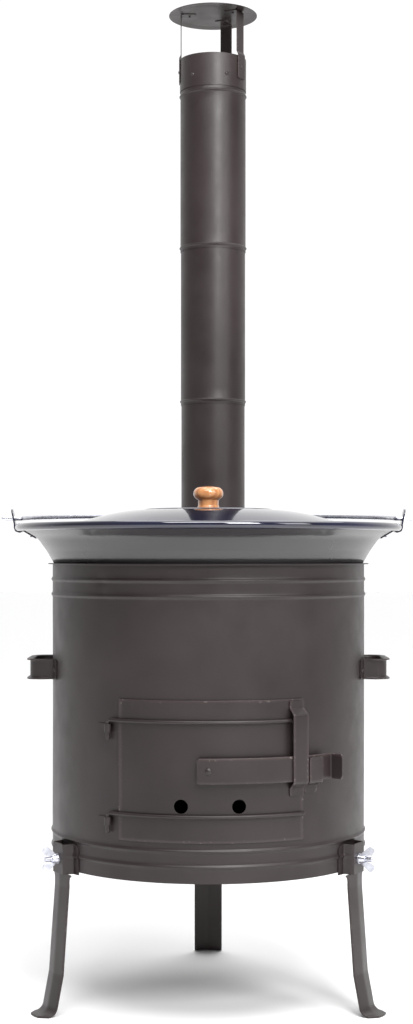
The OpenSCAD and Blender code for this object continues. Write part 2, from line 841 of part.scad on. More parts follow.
module kettle() {
    bottom = bowl_top - bowl_h;
    color("#20202e") placed() rotate_extrude() union() {
        polygon(band(concat(
            [[0, bottom]],
            [for (k = [0:14]) let (t = 90 * k / 14)
                [kettle_flat + (neck_r - kettle_flat) * sin(t), bowl_top - bowl_h * cos(t)]],
            flare
        ), -kettle_wall));
        translate([rim_r, rim_z]) circle(r = bead_r);
    }
}

module kettle_lug(angle) {
    color("#20202e") placed() around(angle) difference() {
        side_profile(lug_w) polygon(band([
            [rim_r - 28, flare_z(rim_r - 28)], [rim_r - bead_r, flare_z(rim_r - bead_r)],
            [rim_r - 1, rim_z - bead_r], [rim_r + 0.75 * bead_r, rim_z - 0.7 * bead_r],
            [rim_r + bead_r, rim_z], [rim_r + bead_r, rim_z + 5], [rim_r + bead_r + 5, lug_top],
        ], lug_t));
        radial_bar(rim_r, bail_end, bail_z, bail_d / 2 + run);
    }
}

module kettle_lug_left() {
    kettle_lug(-90);
}

module kettle_lug_right() {
    kettle_lug(90);
}

module lug_rivets() {
    slope = atan2(flare[3][1] - flare[2][1], flare[3][0] - flare[2][0]);
    mid_r = rim_r - 19;
    color("#20202e") placed() for (side = [-90, 90]) around(side) for (s = [-1, 1])
        translate([s * lug_w / 4, -mid_r, flare_z(mid_r)]) rotate([slope, 0, 0]) {
            translate([0, 0, -lug_t]) cylinder(h = lug_t + kettle_wall, r = 2.2);
            translate([0, 0, -lug_t - 1.6]) cylinder(h = 1.6, r1 = 2.4, r2 = 4);
            translate([0, 0, kettle_wall]) cylinder(h = 1.4, r1 = 4, r2 = 2.4);
        }
}

module bail() {
    bend = 8;
    color("#b4b1aa") placed() translate([0, 0, bail_z]) rotate([bail_tilt, 0, 0]) {
        translate([0, bend, 0]) rotate_extrude(angle = 180) translate([bail_r, 0]) circle(d = bail_d);
        for (s = [0, 1]) mirror([s, 0, 0]) {
            translate([bail_r + bend, bend, 0]) rotate([0, 0, 180])
                rotate_extrude(angle = 90) translate([bend, 0]) circle(d = bail_d);
            translate([bail_r + bend, 0, 0]) rotate([0, 90, 0])
                cylinder(h = bail_end - bail_r - bend, d = bail_d);
        }
    }
}

// ---- lid ----

module lid() {
    edge_z = lid_lip_z + 8;
    drop = lid_top - 1.5 - edge_z;
    run_out = lid_r - dome_flat - 1.5;
    color("#1e1e2c") placed() difference() {
        rotate_extrude() polygon(band(concat(
            [[0, lid_top], [dome_flat, lid_top]],
            [for (k = [0:12]) [dome_flat + 1.5 + run_out * k / 12, lid_top - 1.5 - drop * pow(k / 12, 1.7)]],
            [[lid_r, lid_lip_z]]
        ), lid_wall));
        translate([0, 0, lid_top - 10]) cylinder(h = 20, r = knob_hole_r());
    }
}

function knob_hole_r() = 2.4;

module lid_knob() {
    low = lid_top + washer_t;
    shoulder = low + knob_h * 0.38;
    top = low + knob_h;
    soft = 6;
    color("#c58a55") placed() difference() {
        rotate_extrude() polygon(concat(
            [[0, low], [neck_d / 2, low], [neck_d / 2, shoulder]],
            [for (k = [0:5]) [knob_d / 2 - soft * (1 - sin(18 * k)), shoulder + soft * (1 - cos(18 * k))]],
            [for (k = [0:5]) [knob_d / 2 - soft * (1 - cos(18 * k)), top - soft * (1 - sin(18 * k))]],
            [[0, top]]
        ));
        translate([0, 0, low - 1]) cylinder(h = knob_h * 0.6 + 1, r = knob_hole_r());
    }
}

module knob_washer() {
    color("#2a2626") placed() tube(lid_top, washer_t, neck_d / 2 + 3, knob_hole_r());
}

module knob_screw() {
    color("#8d8b88") placed() {
        translate([0, 0, lid_top - lid_wall - 1])
            cylinder(h = lid_wall + washer_t + 1 + knob_h * 0.55, r = knob_hole_r());
        translate([0, 0, lid_top - lid_wall - 3]) cylinder(h = 3, r1 = 3.5, r2 = 5.5);
    }
}

stove_body();
base_plate();
grate_supports();
fire_grate();
door_panel();
hinge_rod_upper();
hinge_rod_lower();
hinge_eyes();
latch_bar();
latch_rivet();
latch_spacer();
latch_guide();
latch_catch();
side_handle_left();
side_handle_right();
handle_rivets();
leg_front_left();
leg_front_right();
leg_rear();
leg_bracket_front_left();
leg_bracket_front_right();
leg_bracket_rear();
leg_bolts();
leg_washers();
wing_nut_front_left();
wing_nut_front_right();
wing_nut_rear();
flue_stub();
elbow();
pipe_lower();
pipe_middle();
pipe_upper();
cap_collar();
collar_screws();
cap_stay_left();
cap_stay_right();
cap_stay_rear();
cap_disc();
cap_rivets();
kettle();
kettle_lug_left();
kettle_lug_right();
lug_rivets();
bail();
lid();
lid_knob();
knob_washer();
knob_screw();
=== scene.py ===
import json
import math

import bmesh
import bpy
import numpy as np
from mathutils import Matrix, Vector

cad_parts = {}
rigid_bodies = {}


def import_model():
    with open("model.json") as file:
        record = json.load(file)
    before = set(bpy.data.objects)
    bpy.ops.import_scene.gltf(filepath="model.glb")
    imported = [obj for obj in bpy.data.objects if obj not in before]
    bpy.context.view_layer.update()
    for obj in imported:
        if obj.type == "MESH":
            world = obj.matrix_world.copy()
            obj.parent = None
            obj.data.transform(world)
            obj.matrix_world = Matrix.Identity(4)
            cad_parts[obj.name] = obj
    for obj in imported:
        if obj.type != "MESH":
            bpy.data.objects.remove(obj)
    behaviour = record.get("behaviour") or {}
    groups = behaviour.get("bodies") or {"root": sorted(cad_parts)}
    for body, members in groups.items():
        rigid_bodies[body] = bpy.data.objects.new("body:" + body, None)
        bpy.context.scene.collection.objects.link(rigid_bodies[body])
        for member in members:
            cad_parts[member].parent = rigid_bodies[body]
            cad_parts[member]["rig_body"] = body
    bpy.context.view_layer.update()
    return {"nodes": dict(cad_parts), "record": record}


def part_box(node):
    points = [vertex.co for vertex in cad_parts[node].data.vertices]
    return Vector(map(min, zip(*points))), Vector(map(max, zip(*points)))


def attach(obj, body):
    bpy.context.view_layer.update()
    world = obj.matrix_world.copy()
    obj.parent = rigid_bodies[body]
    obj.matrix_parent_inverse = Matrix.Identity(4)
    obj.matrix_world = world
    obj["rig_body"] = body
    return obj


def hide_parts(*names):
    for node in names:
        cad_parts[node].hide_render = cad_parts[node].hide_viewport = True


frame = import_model()
nodes = frame["nodes"]
mm = 0.001
fullTurn = 2 * math.pi


# Lowest and highest corner of a node in mm, measured from the firebox axis.
def boxMm(name):
    low, high = (np.array(corner, float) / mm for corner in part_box(name))
    return low - firebox["shift"], high - firebox["shift"]


# the firebox: every radius and angle below is measured from its axis, in mm
shellLow, shellHigh = (np.array(corner, float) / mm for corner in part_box("stove_body"))
firebox = {"flange": 7.0, "sheet": 1.5, "shift": np.array([0, (shellLow[1] + shellHigh[1]) / 2, 0])}
firebox["radius"] = (shellHigh[0] - shellLow[0]) / 2 - firebox["flange"]
firebox["low"], firebox["top"] = shellLow[2], shellHigh[2]


# camera, level, looking along +Y
camera = {"lens": 61.5, "back": 2820.0, "side": -3.0, "eye": 703.0, "rise": 0.042}


def makeCamera(spec):
    data = bpy.data.cameras.new("camera")
    data.lens, data.sensor_width, data.shift_y = spec["lens"], 36, spec["rise"]
    data.dof.use_dof = False
    piece = bpy.data.objects.new("camera", data)
    bpy.context.scene.collection.objects.link(piece)
    spot = np.array([spec["side"], -spec["back"], spec["eye"]]) + firebox["shift"]
    piece.location = spot * mm
    piece.rotation_euler = (math.pi / 2, 0, 0)
    bpy.context.scene.camera = piece


makeCamera(camera)
print("camera set")


# materials

# A material with its shader's own sockets set, and Object coordinates ready.
def newLook(name, **sockets):
    look = bpy.data.materials.new(name)
    look.use_nodes = True
    tree = look.node_tree
    shader = tree.nodes["Principled BSDF"]
    for key, value in sockets.items():
        shader.inputs[key.replace("_", " ")].default_value = value
    place = tree.nodes.new("ShaderNodeTexCoord")
    return look, tree, shader, place.outputs["Object"]


# Noise on Object coordinates, stretched by a mapping.
def speckle(tree, place, scale, detail=2.0, stretch=(1, 1, 1), rough=0.5):
    turn = tree.nodes.new("ShaderNodeMapping")
    turn.inputs["Scale"].default_value = stretch
    tree.links.new(place, turn.inputs["Vector"])
    noise = tree.nodes.new("ShaderNodeTexNoise")
    noise.inputs["Scale"].default_value = scale
    noise.inputs["Detail"].default_value = detail
    noise.inputs["Roughness"].default_value = rough
    tree.links.new(turn.outputs["Vector"], noise.inputs["Vector"])
    return noise.outputs["Fac"]


# The value from 0 to 1 that a piece may carry at its points.
def wearAndPaintedLightOf(tree):
    node = tree.nodes.new("ShaderNodeAttribute")
    node.attribute_name = "wearAndPaintedLight"
    return node.outputs["Fac"]


# A colour ramp: stops are (place, grey or colour).
def ramp(tree, value, stops):
    node = tree.nodes.new("ShaderNodeValToRGB")
    points = node.color_ramp.elements
    while len(points) < len(stops):
        points.new(0.5)
    for point, (spot, tint) in zip(points, stops):
        point.position = spot
        point.color = (*tint, 1) if isinstance(tint, tuple) else (tint, tint, tint, 1)
    tree.links.new(value, node.inputs["Fac"])
    return node.outputs["Color"]


# first where amount is 0 and second where it is 1.
def blendColour(tree, amount, first, second):
    node = tree.nodes.new("ShaderNodeMix")
    node.data_type = "RGBA"
    tree.links.new(amount, node.inputs["Factor"])
    for socket, tint in ((node.inputs[6], first), (node.inputs[7], second)):
        if isinstance(tint, tuple):
            socket.default_value = (*tint, 1)
        else:
            tree.links.new(tint, socket)
    return node.outputs[2]


# Adds a bump from a value, over an earlier one.
def relief(tree, shader, value, strength, depth, under=None):
    bump = tree.nodes.new("ShaderNodeBump")
    bump.inputs["Strength"].default_value = strength
    bump.inputs["Distance"].default_value = depth
    tree.links.new(value, bump.inputs["Height"])
    if under:
        tree.links.new(under, bump.inputs["Normal"])
    tree.links.new(bump.outputs["Normal"], shader.inputs["Normal"])
    return bump.outputs["Normal"]


# satin heat-resistant paint: brown-black, a fine grain, faint clouds and rub marks; edges carrying a value
# turn lighter and chip: worn paint, and on the fire door also a painted edge highlight
paint = {"dark": (0.0150, 0.0094, 0.0092), "light": (0.027, 0.0190, 0.0192), "grain": 1400.0,
         "cloud": 7.0, "rough": (0.36, 0.47), "bare": (0.20, 0.175, 0.16)}


def makePaint(name, spec, brighter=1.0):
    look, tree, shader, place = newLook(name, Metallic=0.0, IOR=1.47)
    cloud = speckle(tree, place, spec["cloud"], 5.0)
    dark, light = (tuple(c * brighter for c in spec[k]) for k in ("dark", "light"))
    base = ramp(tree, cloud, [(0.3, dark), (0.7, light)])
    lighterPaint = ramp(tree, speckle(tree, place, 60.0, 6.0, (1, 1, 0.12), 0.65), [(0.66, 0.0), (0.80, 0.35)])
    base = blendColour(tree, lighterPaint, base, tuple(c * 1.9 * brighter for c in spec["light"]))
    wearAndPaintedLight = wearAndPaintedLightOf(tree)
    edgeWearAndLight = ramp(tree, wearAndPaintedLight, [(0.0, 0.0), (1.0, 0.5)])
    base = blendColour(tree, edgeWearAndLight, base, tuple(c * 2.6 * brighter for c in spec["light"]))
    broken = tree.nodes.new("ShaderNodeMath")
    broken.operation = "MULTIPLY"
    tree.links.new(wearAndPaintedLight, broken.inputs[0])
    chips = ramp(tree, speckle(tree, place, 260.0, 4.0), [(0.63, 0.0), (0.69, 1.0)])
    tree.links.new(chips, broken.inputs[1])
    base = blendColour(tree, broken.outputs[0], base, spec["bare"])
    tree.links.new(base, shader.inputs["Base Color"])
    low, high = spec["rough"]
    gloss = ramp(tree, speckle(tree, place, 26.0, 4.0), [(0.3, low), (0.7, high)])
    tree.links.new(gloss, shader.inputs["Roughness"])
    grain = relief(tree, shader, speckle(tree, place, spec["grain"], 3.0), 0.16, 0.0004)
    relief(tree, shader, speckle(tree, place, 34.0, 3.0), 0.10, 0.002, grain)
    return look


# vitreous enamel: near-black navy, glassy, with a slow ripple; under the kettle, where the carried value is
# 1, a duller grey with less coat is painted in: a painted reflection of the grey surroundings
enamel = {"deep": (0.0045, 0.0048, 0.014), "pale": (0.012, 0.0125, 0.034), "ripple": 28.0,
          "ground": (0.036, 0.034, 0.036), "paintedReflectionRough": 0.24, "coat": (0.6, 0.15)}


def makeEnamel(name, spec):
    look, tree, shader, place = newLook(name, Roughness=0.06, IOR=1.55)
    shader.inputs["Coat Roughness"].default_value = 0.03
    # the carried value: on the kettle's underside it swaps the navy for a painted grey reflection
    under = wearAndPaintedLightOf(tree)
    coat = ramp(tree, under, [(0.0, spec["coat"][0]), (1.0, spec["coat"][1])])
    tree.links.new(coat, shader.inputs["Coat Weight"])
    tint = ramp(tree, speckle(tree, place, 9.0, 4.0), [(0.35, spec["deep"]), (0.7, spec["pale"])])
    specks = ramp(tree, speckle(tree, place, 520.0, 2.0), [(0.73, 0.0), (0.78, 0.5)])
    tint = blendColour(tree, specks, tint, (0.03, 0.033, 0.06))
    tree.links.new(blendColour(tree, under, tint, spec["ground"]), shader.inputs["Base Color"])
    gloss = ramp(tree, speckle(tree, place, 14.0, 5.0), [(0.3, 0.04), (0.75, 0.12)])
    tree.links.new(blendColour(tree, under, gloss, (spec["paintedReflectionRough"],) * 3), shader.inputs["Roughness"])
    slow = relief(tree, shader, speckle(tree, place, spec["ripple"], 2.0), 0.08, 0.002)
    relief(tree, shader, speckle(tree, place, 260.0, 2.0), 0.05, 0.0003, slow)
    return look


# bright zinc plate, faintly drawn
zinc = {"bright": (0.72, 0.73, 0.80), "dull": (0.56, 0.57, 0.63), "rough": (0.24, 0.38)}


def makeZinc(name, spec):
    look, tree, shader, place = newLook(name, Metallic=1.0)
    spots = speckle(tree, place, 150.0, 5.0)
    tint = ramp(tree, spots, [(0.35, spec["dull"]), (0.62, spec["bright"])])
    tree.links.new(tint, shader.inputs["Base Color"])
    low, high = spec["rough"]
    gloss = ramp(tree, speckle(tree, place, 90.0, 4.0), [(0.3, low), (0.7, high)])
    tree.links.new(gloss, shader.inputs["Roughness"])
    relief(tree, shader, speckle(tree, place, 500.0, 3.0), 0.08, 0.0002)
    return look


# varnished beech, the grain running across the knob
beech = {"early": (0.60, 0.27, 0.105), "late": (0.44, 0.17, 0.058), "ring": 48.0}


def makeBeech(name, spec):
    look, tree, shader, place = newLook(name, Roughness=0.26)
    shader.inputs["Coat Weight"].default_value = 0.7
    shader.inputs["Coat Roughness"].default_value = 0.12
    turn = tree.nodes.new("ShaderNodeMapping")
    turn.inputs["Rotation"].default_value = (0.2, 0.1, 0.4)
    turn.inputs["Scale"].default_value = (0.35, 1.0, 1.0)
    tree.links.new(place, turn.inputs["Vector"])
    wave = tree.nodes.new("ShaderNodeTexWave")
    wave.bands_direction = "Y"
    for key, value in (("Scale", spec["ring"]), ("Distortion", 1.6), ("Detail", 3.0), ("Detail Scale", 1.4)):
        wave.inputs[key].default_value = value
    tree.links.new(turn.outputs["Vector"], wave.inputs["Vector"])
    rings = ramp(tree, wave.outputs["Fac"], [(0.1, spec["early"]), (0.95, spec["late"])])
    flecks = ramp(tree, speckle(tree, place, 900.0, 3.0, (0.12, 1, 1)), [(0.60, 0.0), (0.74, 0.35)])
    tree.links.new(blendColour(tree, flecks, rings, spec["late"]), shader.inputs["Base Color"])
    relief(tree, shader, wave.outputs["Fac"], 0.04, 0.0002)
    return look


# rough cast iron and the dull black disc under the knob
casting = {"dark": (0.018, 0.016, 0.015), "rust": (0.060, 0.032, 0.020)}
blackDisc = {"dark": (0.012, 0.011, 0.012), "rust": (0.03, 0.026, 0.026)}


def makeCasting(name, spec, bumps=0.6):
    look, tree, shader, place = newLook(name, Metallic=0.0)
    tint = ramp(tree, speckle(tree, place, 45.0, 6.0), [(0.45, spec["dark"]), (0.75, spec["rust"])])
    tree.links.new(tint, shader.inputs["Base Color"])
    gloss = ramp(tree, speckle(tree, place, 120.0, 4.0), [(0.3, 0.6), (0.7, 0.85)])
    tree.links.new(gloss, shader.inputs["Roughness"])
    relief(tree, shader, speckle(tree, place, 380.0, 5.0), bumps, 0.0008)
    return look


looks = {
    "body_paint": makePaint("bodyPaint", paint),
    "pipe_paint": makePaint("pipePaint", paint, 1.12),
    "enamel": makeEnamel("navyEnamel", enamel),
    "zinc": makeZinc("brightZinc", zinc),
    "knob_wood": makeBeech("varnishedBeech", beech),
    "grate_iron": makeCasting("castIron", casting),
    "black_plastic": makeCasting("blackDisc", blackDisc, 0.2),
}
slotOf = {row["node"]: row["material_slot"] for row in frame["record"]["subparts"]}
print("materials made:", len(looks))


# surfaces

# Makes a mesh of points (mm, from the firebox axis) and faces, with an optional value a point for worn edges
# and painted light.
def freshMesh(name, points, faces, wearAndPaintedLight=None):
    mesh = bpy.data.meshes.new(name)
    mesh.from_pydata(((points.reshape(-1, 3) + firebox["shift"]) * mm).tolist(), [], faces)
    if wearAndPaintedLight is not None:
        layer = mesh.attributes.new("wearAndPaintedLight", "FLOAT", "POINT")
        layer.data.foreach_set("value", wearAndPaintedLight.ravel().astype(np.float32))
    work = bmesh.new()
    work.from_mesh(mesh)
    bmesh.ops.remove_doubles(work, verts=work.verts, dist=2e-6)
    bmesh.ops.recalc_face_normals(work, faces=work.faces)
    work.to_mesh(mesh)
    work.free()
    return mesh


# Lets a numpy surface stand for the CAD nodes it replaces.
def addPiece(name, points, faces, replaced, crease=40.0, wearAndPaintedLight=None):
    return placePiece(name, freshMesh(name, points, faces, wearAndPaintedLight), replaced, crease)


# Shades a mesh, gives it the finish of its slot and lets it ride with its node's body.
def placePiece(name, mesh, replaced, crease=40.0):
    slot = slotOf[replaced[0]]
    mesh.shade_smooth()
    mesh.set_sharp_from_angle(angle=math.radians(crease))
    piece = bpy.data.objects.new(name, mesh)
    bpy.context.scene.collection.objects.link(piece)
    mesh.materials.clear()
    mesh.materials.append(looks[slot])
    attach(piece, nodes[replaced[0]]["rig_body"])
    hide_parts(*replaced)
    return piece


# Quads between rings of points that close on themselves; the last ring joins the first if it loops.
def gridFaces(rings, around, loop=False, caps=True):
    i, j = np.arange(rings if loop else rings - 1)[:, None], np.arange(around)[None, :]
    here, there = i * around, (i + 1) % rings * around
    quads = np.stack([here + j, here + (j + 1) % around, there + (j + 1) % around, there + j], -1)
    faces = quads.reshape(-1, 4).tolist()
    if caps and not loop:
        faces += [list(range(around)), list(range((rings - 1) * around, rings * around))]
    return faces


# Straight runs joined by arcs: near a corner the path leaves its run where a circle of the bend
# radius touches it, follows the circle and goes on along the next run.
def softPath(corners, bend, step=6.0):
    corners = np.asarray(corners, float)
    parts = [corners[:1]]
    for before, at, after in zip(corners[:-2], corners[1:-1], corners[2:]):
        lengths = np.linalg.norm(before - at), np.linalg.norm(after - at)
        a, b = (before - at) / lengths[0], (after - at) / lengths[1]
        half = math.acos(max(-1.0, min(1.0, float(a @ b)))) / 2
        if half > math.pi / 2 - 0.01:
            parts.append(at[None])
            continue
        reach = min(bend / math.tan(half), 0.48 * min(lengths))
        radius = reach * math.tan(half)
        centre = at + (a + b) / np.linalg.norm(a + b) * radius / math.sin(half)
        u, v = at + a * reach - centre, at + b * reach - centre
        sweep = math.pi - 2 * half
        t = np.linspace(0, 1, max(7, math.ceil(sweep * radius / step) + 1))[:, None]
        parts.append(centre + (np.sin((1 - t) * sweep) * u + np.sin(t * sweep) * v) / math.sin(sweep))
    parts.append(corners[-1:])
    path = np.concatenate(parts)
    gaps = np.linalg.norm(np.diff(path, axis=0), axis=1)
    path = path[np.concatenate([[True], gaps > 1e-6])]
    runs = [np.linspace(p, q, max(1, math.ceil(np.linalg.norm(q - p) / step)), endpoint=False)
            for p, q in zip(path[:-1], path[1:])]
    return np.concatenate(runs + [path[-1:]])


# Unit normals on the right-hand side of a path, halfway between the runs at each point.
def sides(path):
    runs = np.diff(path, axis=0)
    runs /= np.linalg.norm(runs, axis=1, keepdims=True)
    step = np.concatenate([runs[:1], runs[:-1] + runs[1:], runs[-1:]])
    step /= np.linalg.norm(step, axis=1, keepdims=True)
    return np.stack([step[:, 1], -step[:, 0]], 1)


# A profile turned about an upright line: x = r cos(angle), y = r sin(angle), z stays.
def lathe(profile, steps=192, centre=(0.0, 0.0)):
    angle = np.arange(steps) * fullTurn / steps
    r, z = np.asarray(profile, float).T[:, :, None]
    return np.stack([r * np.cos(angle) + centre[0], r * np.sin(angle) + centre[1], z + 0 * angle], -1)


# Closed outline of a wall: the path, and back along the same path moved to its left by the wall.
def shellOf(path, wall):
    return np.concatenate([path, (path - sides(path) * wall)[::-1]])


# A section carried along a flat path: point = path + offset * side, with the section's second
# number going straight across the path's plane, scaled by the width at that point.
def carried(path, section, widths=None):
    widths = np.ones(len(path)) if widths is None else widths
    section = section if section.ndim == 3 else section[None] + np.zeros((len(path), 1, 1))
    flat = path[:, None] + section[..., :1] * sides(path)[:, None]
    return np.concatenate([flat, (section[..., 1] * widths[:, None])[..., None]], -1)


# Section of a flat bar: quarter circles at its corners, its wide sides split evenly.
# Returns the outline and 1 where a point is on a corner.
def flatBar(thick, wide, corner=0.5, splits=1):
    t = np.linspace(0, math.pi / 2, 4)
    dx, dy = thick / 2 - corner, wide / 2 - corner
    rounds = [np.stack([sx * dx + corner * np.cos(t + k * math.pi / 2),
                        sy * dy + corner * np.sin(t + k * math.pi / 2)], 1)
              for k, (sx, sy) in enumerate([(1, 1), (-1, 1), (-1, -1), (1, -1)])]
    parts, edge = [], []
    for k, piece in enumerate(rounds):
        parts.append(piece)
        edge.append(np.ones(len(piece)))
        if k % 2 == 1 and splits > 1:
            run = np.linspace(piece[-1], rounds[(k + 1) % 4][0], splits + 1)[1:-1]
            parts.append(run)
            edge.append(np.zeros(len(run)))
    return np.concatenate(parts), np.concatenate(edge)


# Section of a round wire.
def disc(radius, count=24):
    angle = np.arange(count) * fullTurn / count
    return np.stack([radius * np.cos(angle), radius * np.sin(angle)], 1)


# Lays points on the firebox, turned from the front by an angle in degrees. With a bend radius a
# length along the wall becomes the angle length / bend; without one it stays straight.
def roundWall(along, radius, height, turn=0.0, bend=None, centre=(0.0, 0.0)):
    turn = math.radians(turn)
    if bend:
        angle = turn + along / bend
        x, y = radius * np.sin(angle), -radius * np.cos(angle)
    else:
        x = along * math.cos(turn) + radius * math.sin(turn)
        y = along * math.sin(turn) - radius * math.cos(turn)
    return np.stack([x + centre[0], y + centre[1], height], -1)


# Cuts closed numpy shapes, given as (points, faces), out of a mesh and returns what is left.
def cutWith(mesh, cutters):
    piece = bpy.data.objects.new("work", mesh)
    bpy.context.scene.collection.objects.link(piece)
    tools = []
    for points, faces in cutters:
        tool = freshMesh("cutter", points, faces)
        tools.append(bpy.data.objects.new("cutter", tool))
        bpy.context.scene.collection.objects.link(tools[-1])
        cut = piece.modifiers.new("cut", "BOOLEAN")
        cut.operation, cut.solver, cut.object = "DIFFERENCE", "EXACT", tools[-1]
    bpy.context.view_layer.update()
    graph = bpy.context.evaluated_depsgraph_get()
    left = bpy.data.meshes.new_from_object(piece.evaluated_get(graph))
    for spare in [piece, *tools]:
        bpy.data.objects.remove(spare)
    return left


# A round plug through the wall, at an angle from the front and a height.
def radialPlug(radius, turn, height, near, far, count=48):
    ring = disc(radius, count)
    ends = np.array([near, far])[:, None]
    points = roundWall(ring[None, :, 0] + 0 * ends, ends + 0 * ring[None, :, 0],
                       height + ring[None, :, 1] + 0 * ends, turn)
    return points, gridFaces(2, count)


# firebox

doorLow, doorHigh = boxMm("door_panel")
# the door's edge value: its rim's lighter paint, partly worn and partly a painted edge highlight
door = {"thick": 2.0, "gap": 0.8, "lap": 20.0, "air": 10.5, "airSpacing": 86.0, "airRise": 54.0, "wearAndPaintedLight": 0.6}
door["inner"] = firebox["radius"] + door["gap"]
door["outer"] = door["inner"] + door["thick"]
door["left"] = math.degrees(math.asin(doorLow[0] / door["outer"]))
door["right"] = math.degrees(math.asin(doorHigh[0] / door["outer"]))
door["low"], door["high"] = doorLow[2], doorHigh[2]

shell = {
    "beads": (firebox["low"] + 24, firebox["low"] + 47, firebox["top"] - 49, firebox["top"] - 25),
    "beadHigh": 2.0, "beadWide": 9.0, "steps": 240, "wave": 0.22,
    # openings are cut from the inner to the outer reach; dents: (angle from the front, height, depth, size)
    "reach": (firebox["radius"] - 15, firebox["radius"] + 15),
    "dents": ((-40.0, firebox["top"] - 27, 1.6, 7.0), (-39.5, firebox["top"] - 47, 1.2, 6.0)),
}


# Upright wall with rolled beads: over a bead r grows by height * (1 - cos) / 2.
def beadedWall(radius, low, high, beads, beadHigh, beadWide, step=8.0):
    spots = [np.arange(low, high, step), [low, high]]
    spots += [np.linspace(z - beadWide / 2, z + beadWide / 2, 13) for z in beads]
    z = np.unique(np.round(np.concatenate(spots), 3))
    r = np.full(len(z), float(radius))
    for spot in beads:
        t = np.clip((z - spot) / beadWide + 0.5, 0, 1)
        r += beadHigh * (1 - np.cos(fullTurn * t)) / 2
    return np.stack([r, z], 1)


# Firebox sheet: a beaded wall, an arc and a flange, given a thickness and turned round. The radius
# then gets slow waves and small dents, as thin rolled sheet has, fading out at the top and bottom.
def makeShell(spec):
    top = firebox["top"] - firebox["sheet"]
    wall = beadedWall(firebox["radius"], firebox["low"], top - 2,
                      spec["beads"], spec["beadHigh"], spec["beadWide"])
    lip = softPath([(firebox["radius"], top - 2), (firebox["radius"], top),
                    (firebox["radius"] + firebox["flange"], top)], 1.2, 3.0)
    points = lathe(shellOf(np.concatenate([wall[:-1], lip]), firebox["sheet"]), spec["steps"])
    angle = np.arctan2(points[..., 0], -points[..., 1])
    z = points[..., 2]
    fade = np.clip((z - firebox["low"]) / 60, 0, 1) * np.clip((firebox["top"] - z) / 60, 0, 1)
    shift = spec["wave"] * fade * (np.sin(5 * angle + z / 90) + 0.7 * np.sin(9 * angle - z / 55 + 1.3))
    for turn, high, deep, size in spec["dents"]:
        away = ((angle - math.radians(turn)) * firebox["radius"] / size) ** 2 + ((z - high) / size) ** 2
        shift -= deep * np.exp(-away)
    points[..., :2] *= 1 + (shift / firebox["radius"])[..., None]
    mesh = freshMesh("fireboxSheet", points, gridFaces(*points.shape[:2], loop=True))
    margin = math.degrees(door["lap"] / firebox["radius"])
    a = np.radians(np.linspace(door["left"] + margin, door["right"] - margin, 25))
    near, far = spec["reach"]
    ring = np.concatenate([np.stack([a, a * 0 + near], 1), np.stack([a, a * 0 + far], 1)[::-1]])
    mouth = np.stack([np.stack([ring[:, 1] * np.sin(ring[:, 0]), -ring[:, 1] * np.cos(ring[:, 0]),
                                ring[:, 0] * 0 + z], 1)
                      for z in (door["low"] + door["lap"], door["high"] - door["lap"])])
    stubLow, stubHigh = boxMm("flue_stub")
    flueMid = (stubLow + stubHigh) / 2
    hole = disc((stubHigh[0] - stubLow[0]) / 2, 64)
    flue = np.stack([np.stack([flueMid[0] + hole[:, 0], hole[:, 0] * 0 + y, flueMid[2] + hole[:, 1]], 1)
                     for y in (firebox["radius"] - 50, firebox["radius"] + 50)])
    mesh = cutWith(mesh, [(mouth, gridFaces(2, mouth.shape[1])), (flue, gridFaces(2, flue.shape[1]))])
    placePiece("firebox_sheet", mesh, ["stove_body"], 32)


makeShell(shell)


# Fire door: a flat bar section as tall as the door, carried along the wall, with two air holes.
def makeDoor(spec):
    left, right = (math.radians(spec[k]) * spec["outer"] for k in ("left", "right"))
    middle = spec["inner"] + spec["thick"] / 2
    path = softPath([(left, middle), (right, middle)], 1, 3.5)
    section, edge = flatBar(spec["thick"], spec["high"] - spec["low"], 0.5, 48)
    flat = carried(path, section)
    height = flat[..., 2] + (spec["low"] + spec["high"]) / 2
    points = roundWall(flat[..., 0], flat[..., 1], height, 0, spec["outer"])
    # the door's rim gets the lighter edge paint: partly worn paint, partly a painted edge highlight that
    # outlines the door
    ends = np.zeros((len(path), 1))
    ends[[0, 1, -2, -1]] = 1
    lighterPaint = spec["wearAndPaintedLight"] * np.maximum(edge, ends)
    mesh = freshMesh("fireDoor", points, gridFaces(*points.shape[:2]), lighterPaint)
    half = math.degrees(spec["airSpacing"] / 2 / spec["outer"])
    turn = (spec["left"] + spec["right"]) / 4
    plugs = [radialPlug(spec["air"], turn + side * half, spec["low"] + spec["airRise"],
                        spec["inner"] - 10, spec["outer"] + 10) for side in (-1, 1)]
    placePiece("fire_door", cutWith(mesh, plugs), ["door_panel"], 32)


makeDoor(door)
print("firebox and door made")


# More points near both ends of a path, and how wide a round end leaves each of them:
# width = sqrt(1 - (1 - distance / reach) squared) within the reach of an end, and 1 beyond it.
def roundEnds(path, reach, leave=1.0, which=(True, True)):
    along = np.concatenate([[0], np.cumsum(np.linalg.norm(np.diff(path, axis=0), axis=1))])
    extra = reach * (1 - np.cos(np.linspace(0, math.pi / 2, 7)))
    spots = np.unique(np.round(np.concatenate([along, extra * which[0], along[-1] - extra * which[1]]), 4))
    finer = np.stack([np.interp(spots, along, path[:, k]) for k in (0, 1)], 1)
    far = np.full(len(spots), reach)
    away = np.minimum(spots if which[0] else far, along[-1] - spots if which[1] else far)
    gone = 1 - np.sqrt(1 - (1 - np.clip(away / reach, 0, 1)) ** 2)
    return finer, 1 - leave * gone


# A wire carried along a path, its ends rounded off.
def wire(path, radius, count=20):
    path, widths = roundEnds(path, radius * 0.6, 0.75)
    section = disc(radius, count)[None] * widths[:, None, None]
    return carried(path, section)


rods = {"radius": 3.0, "sink": 0.3, "bend": 6.0, "pinDrop": 30.0, "pinGap": 18.0}


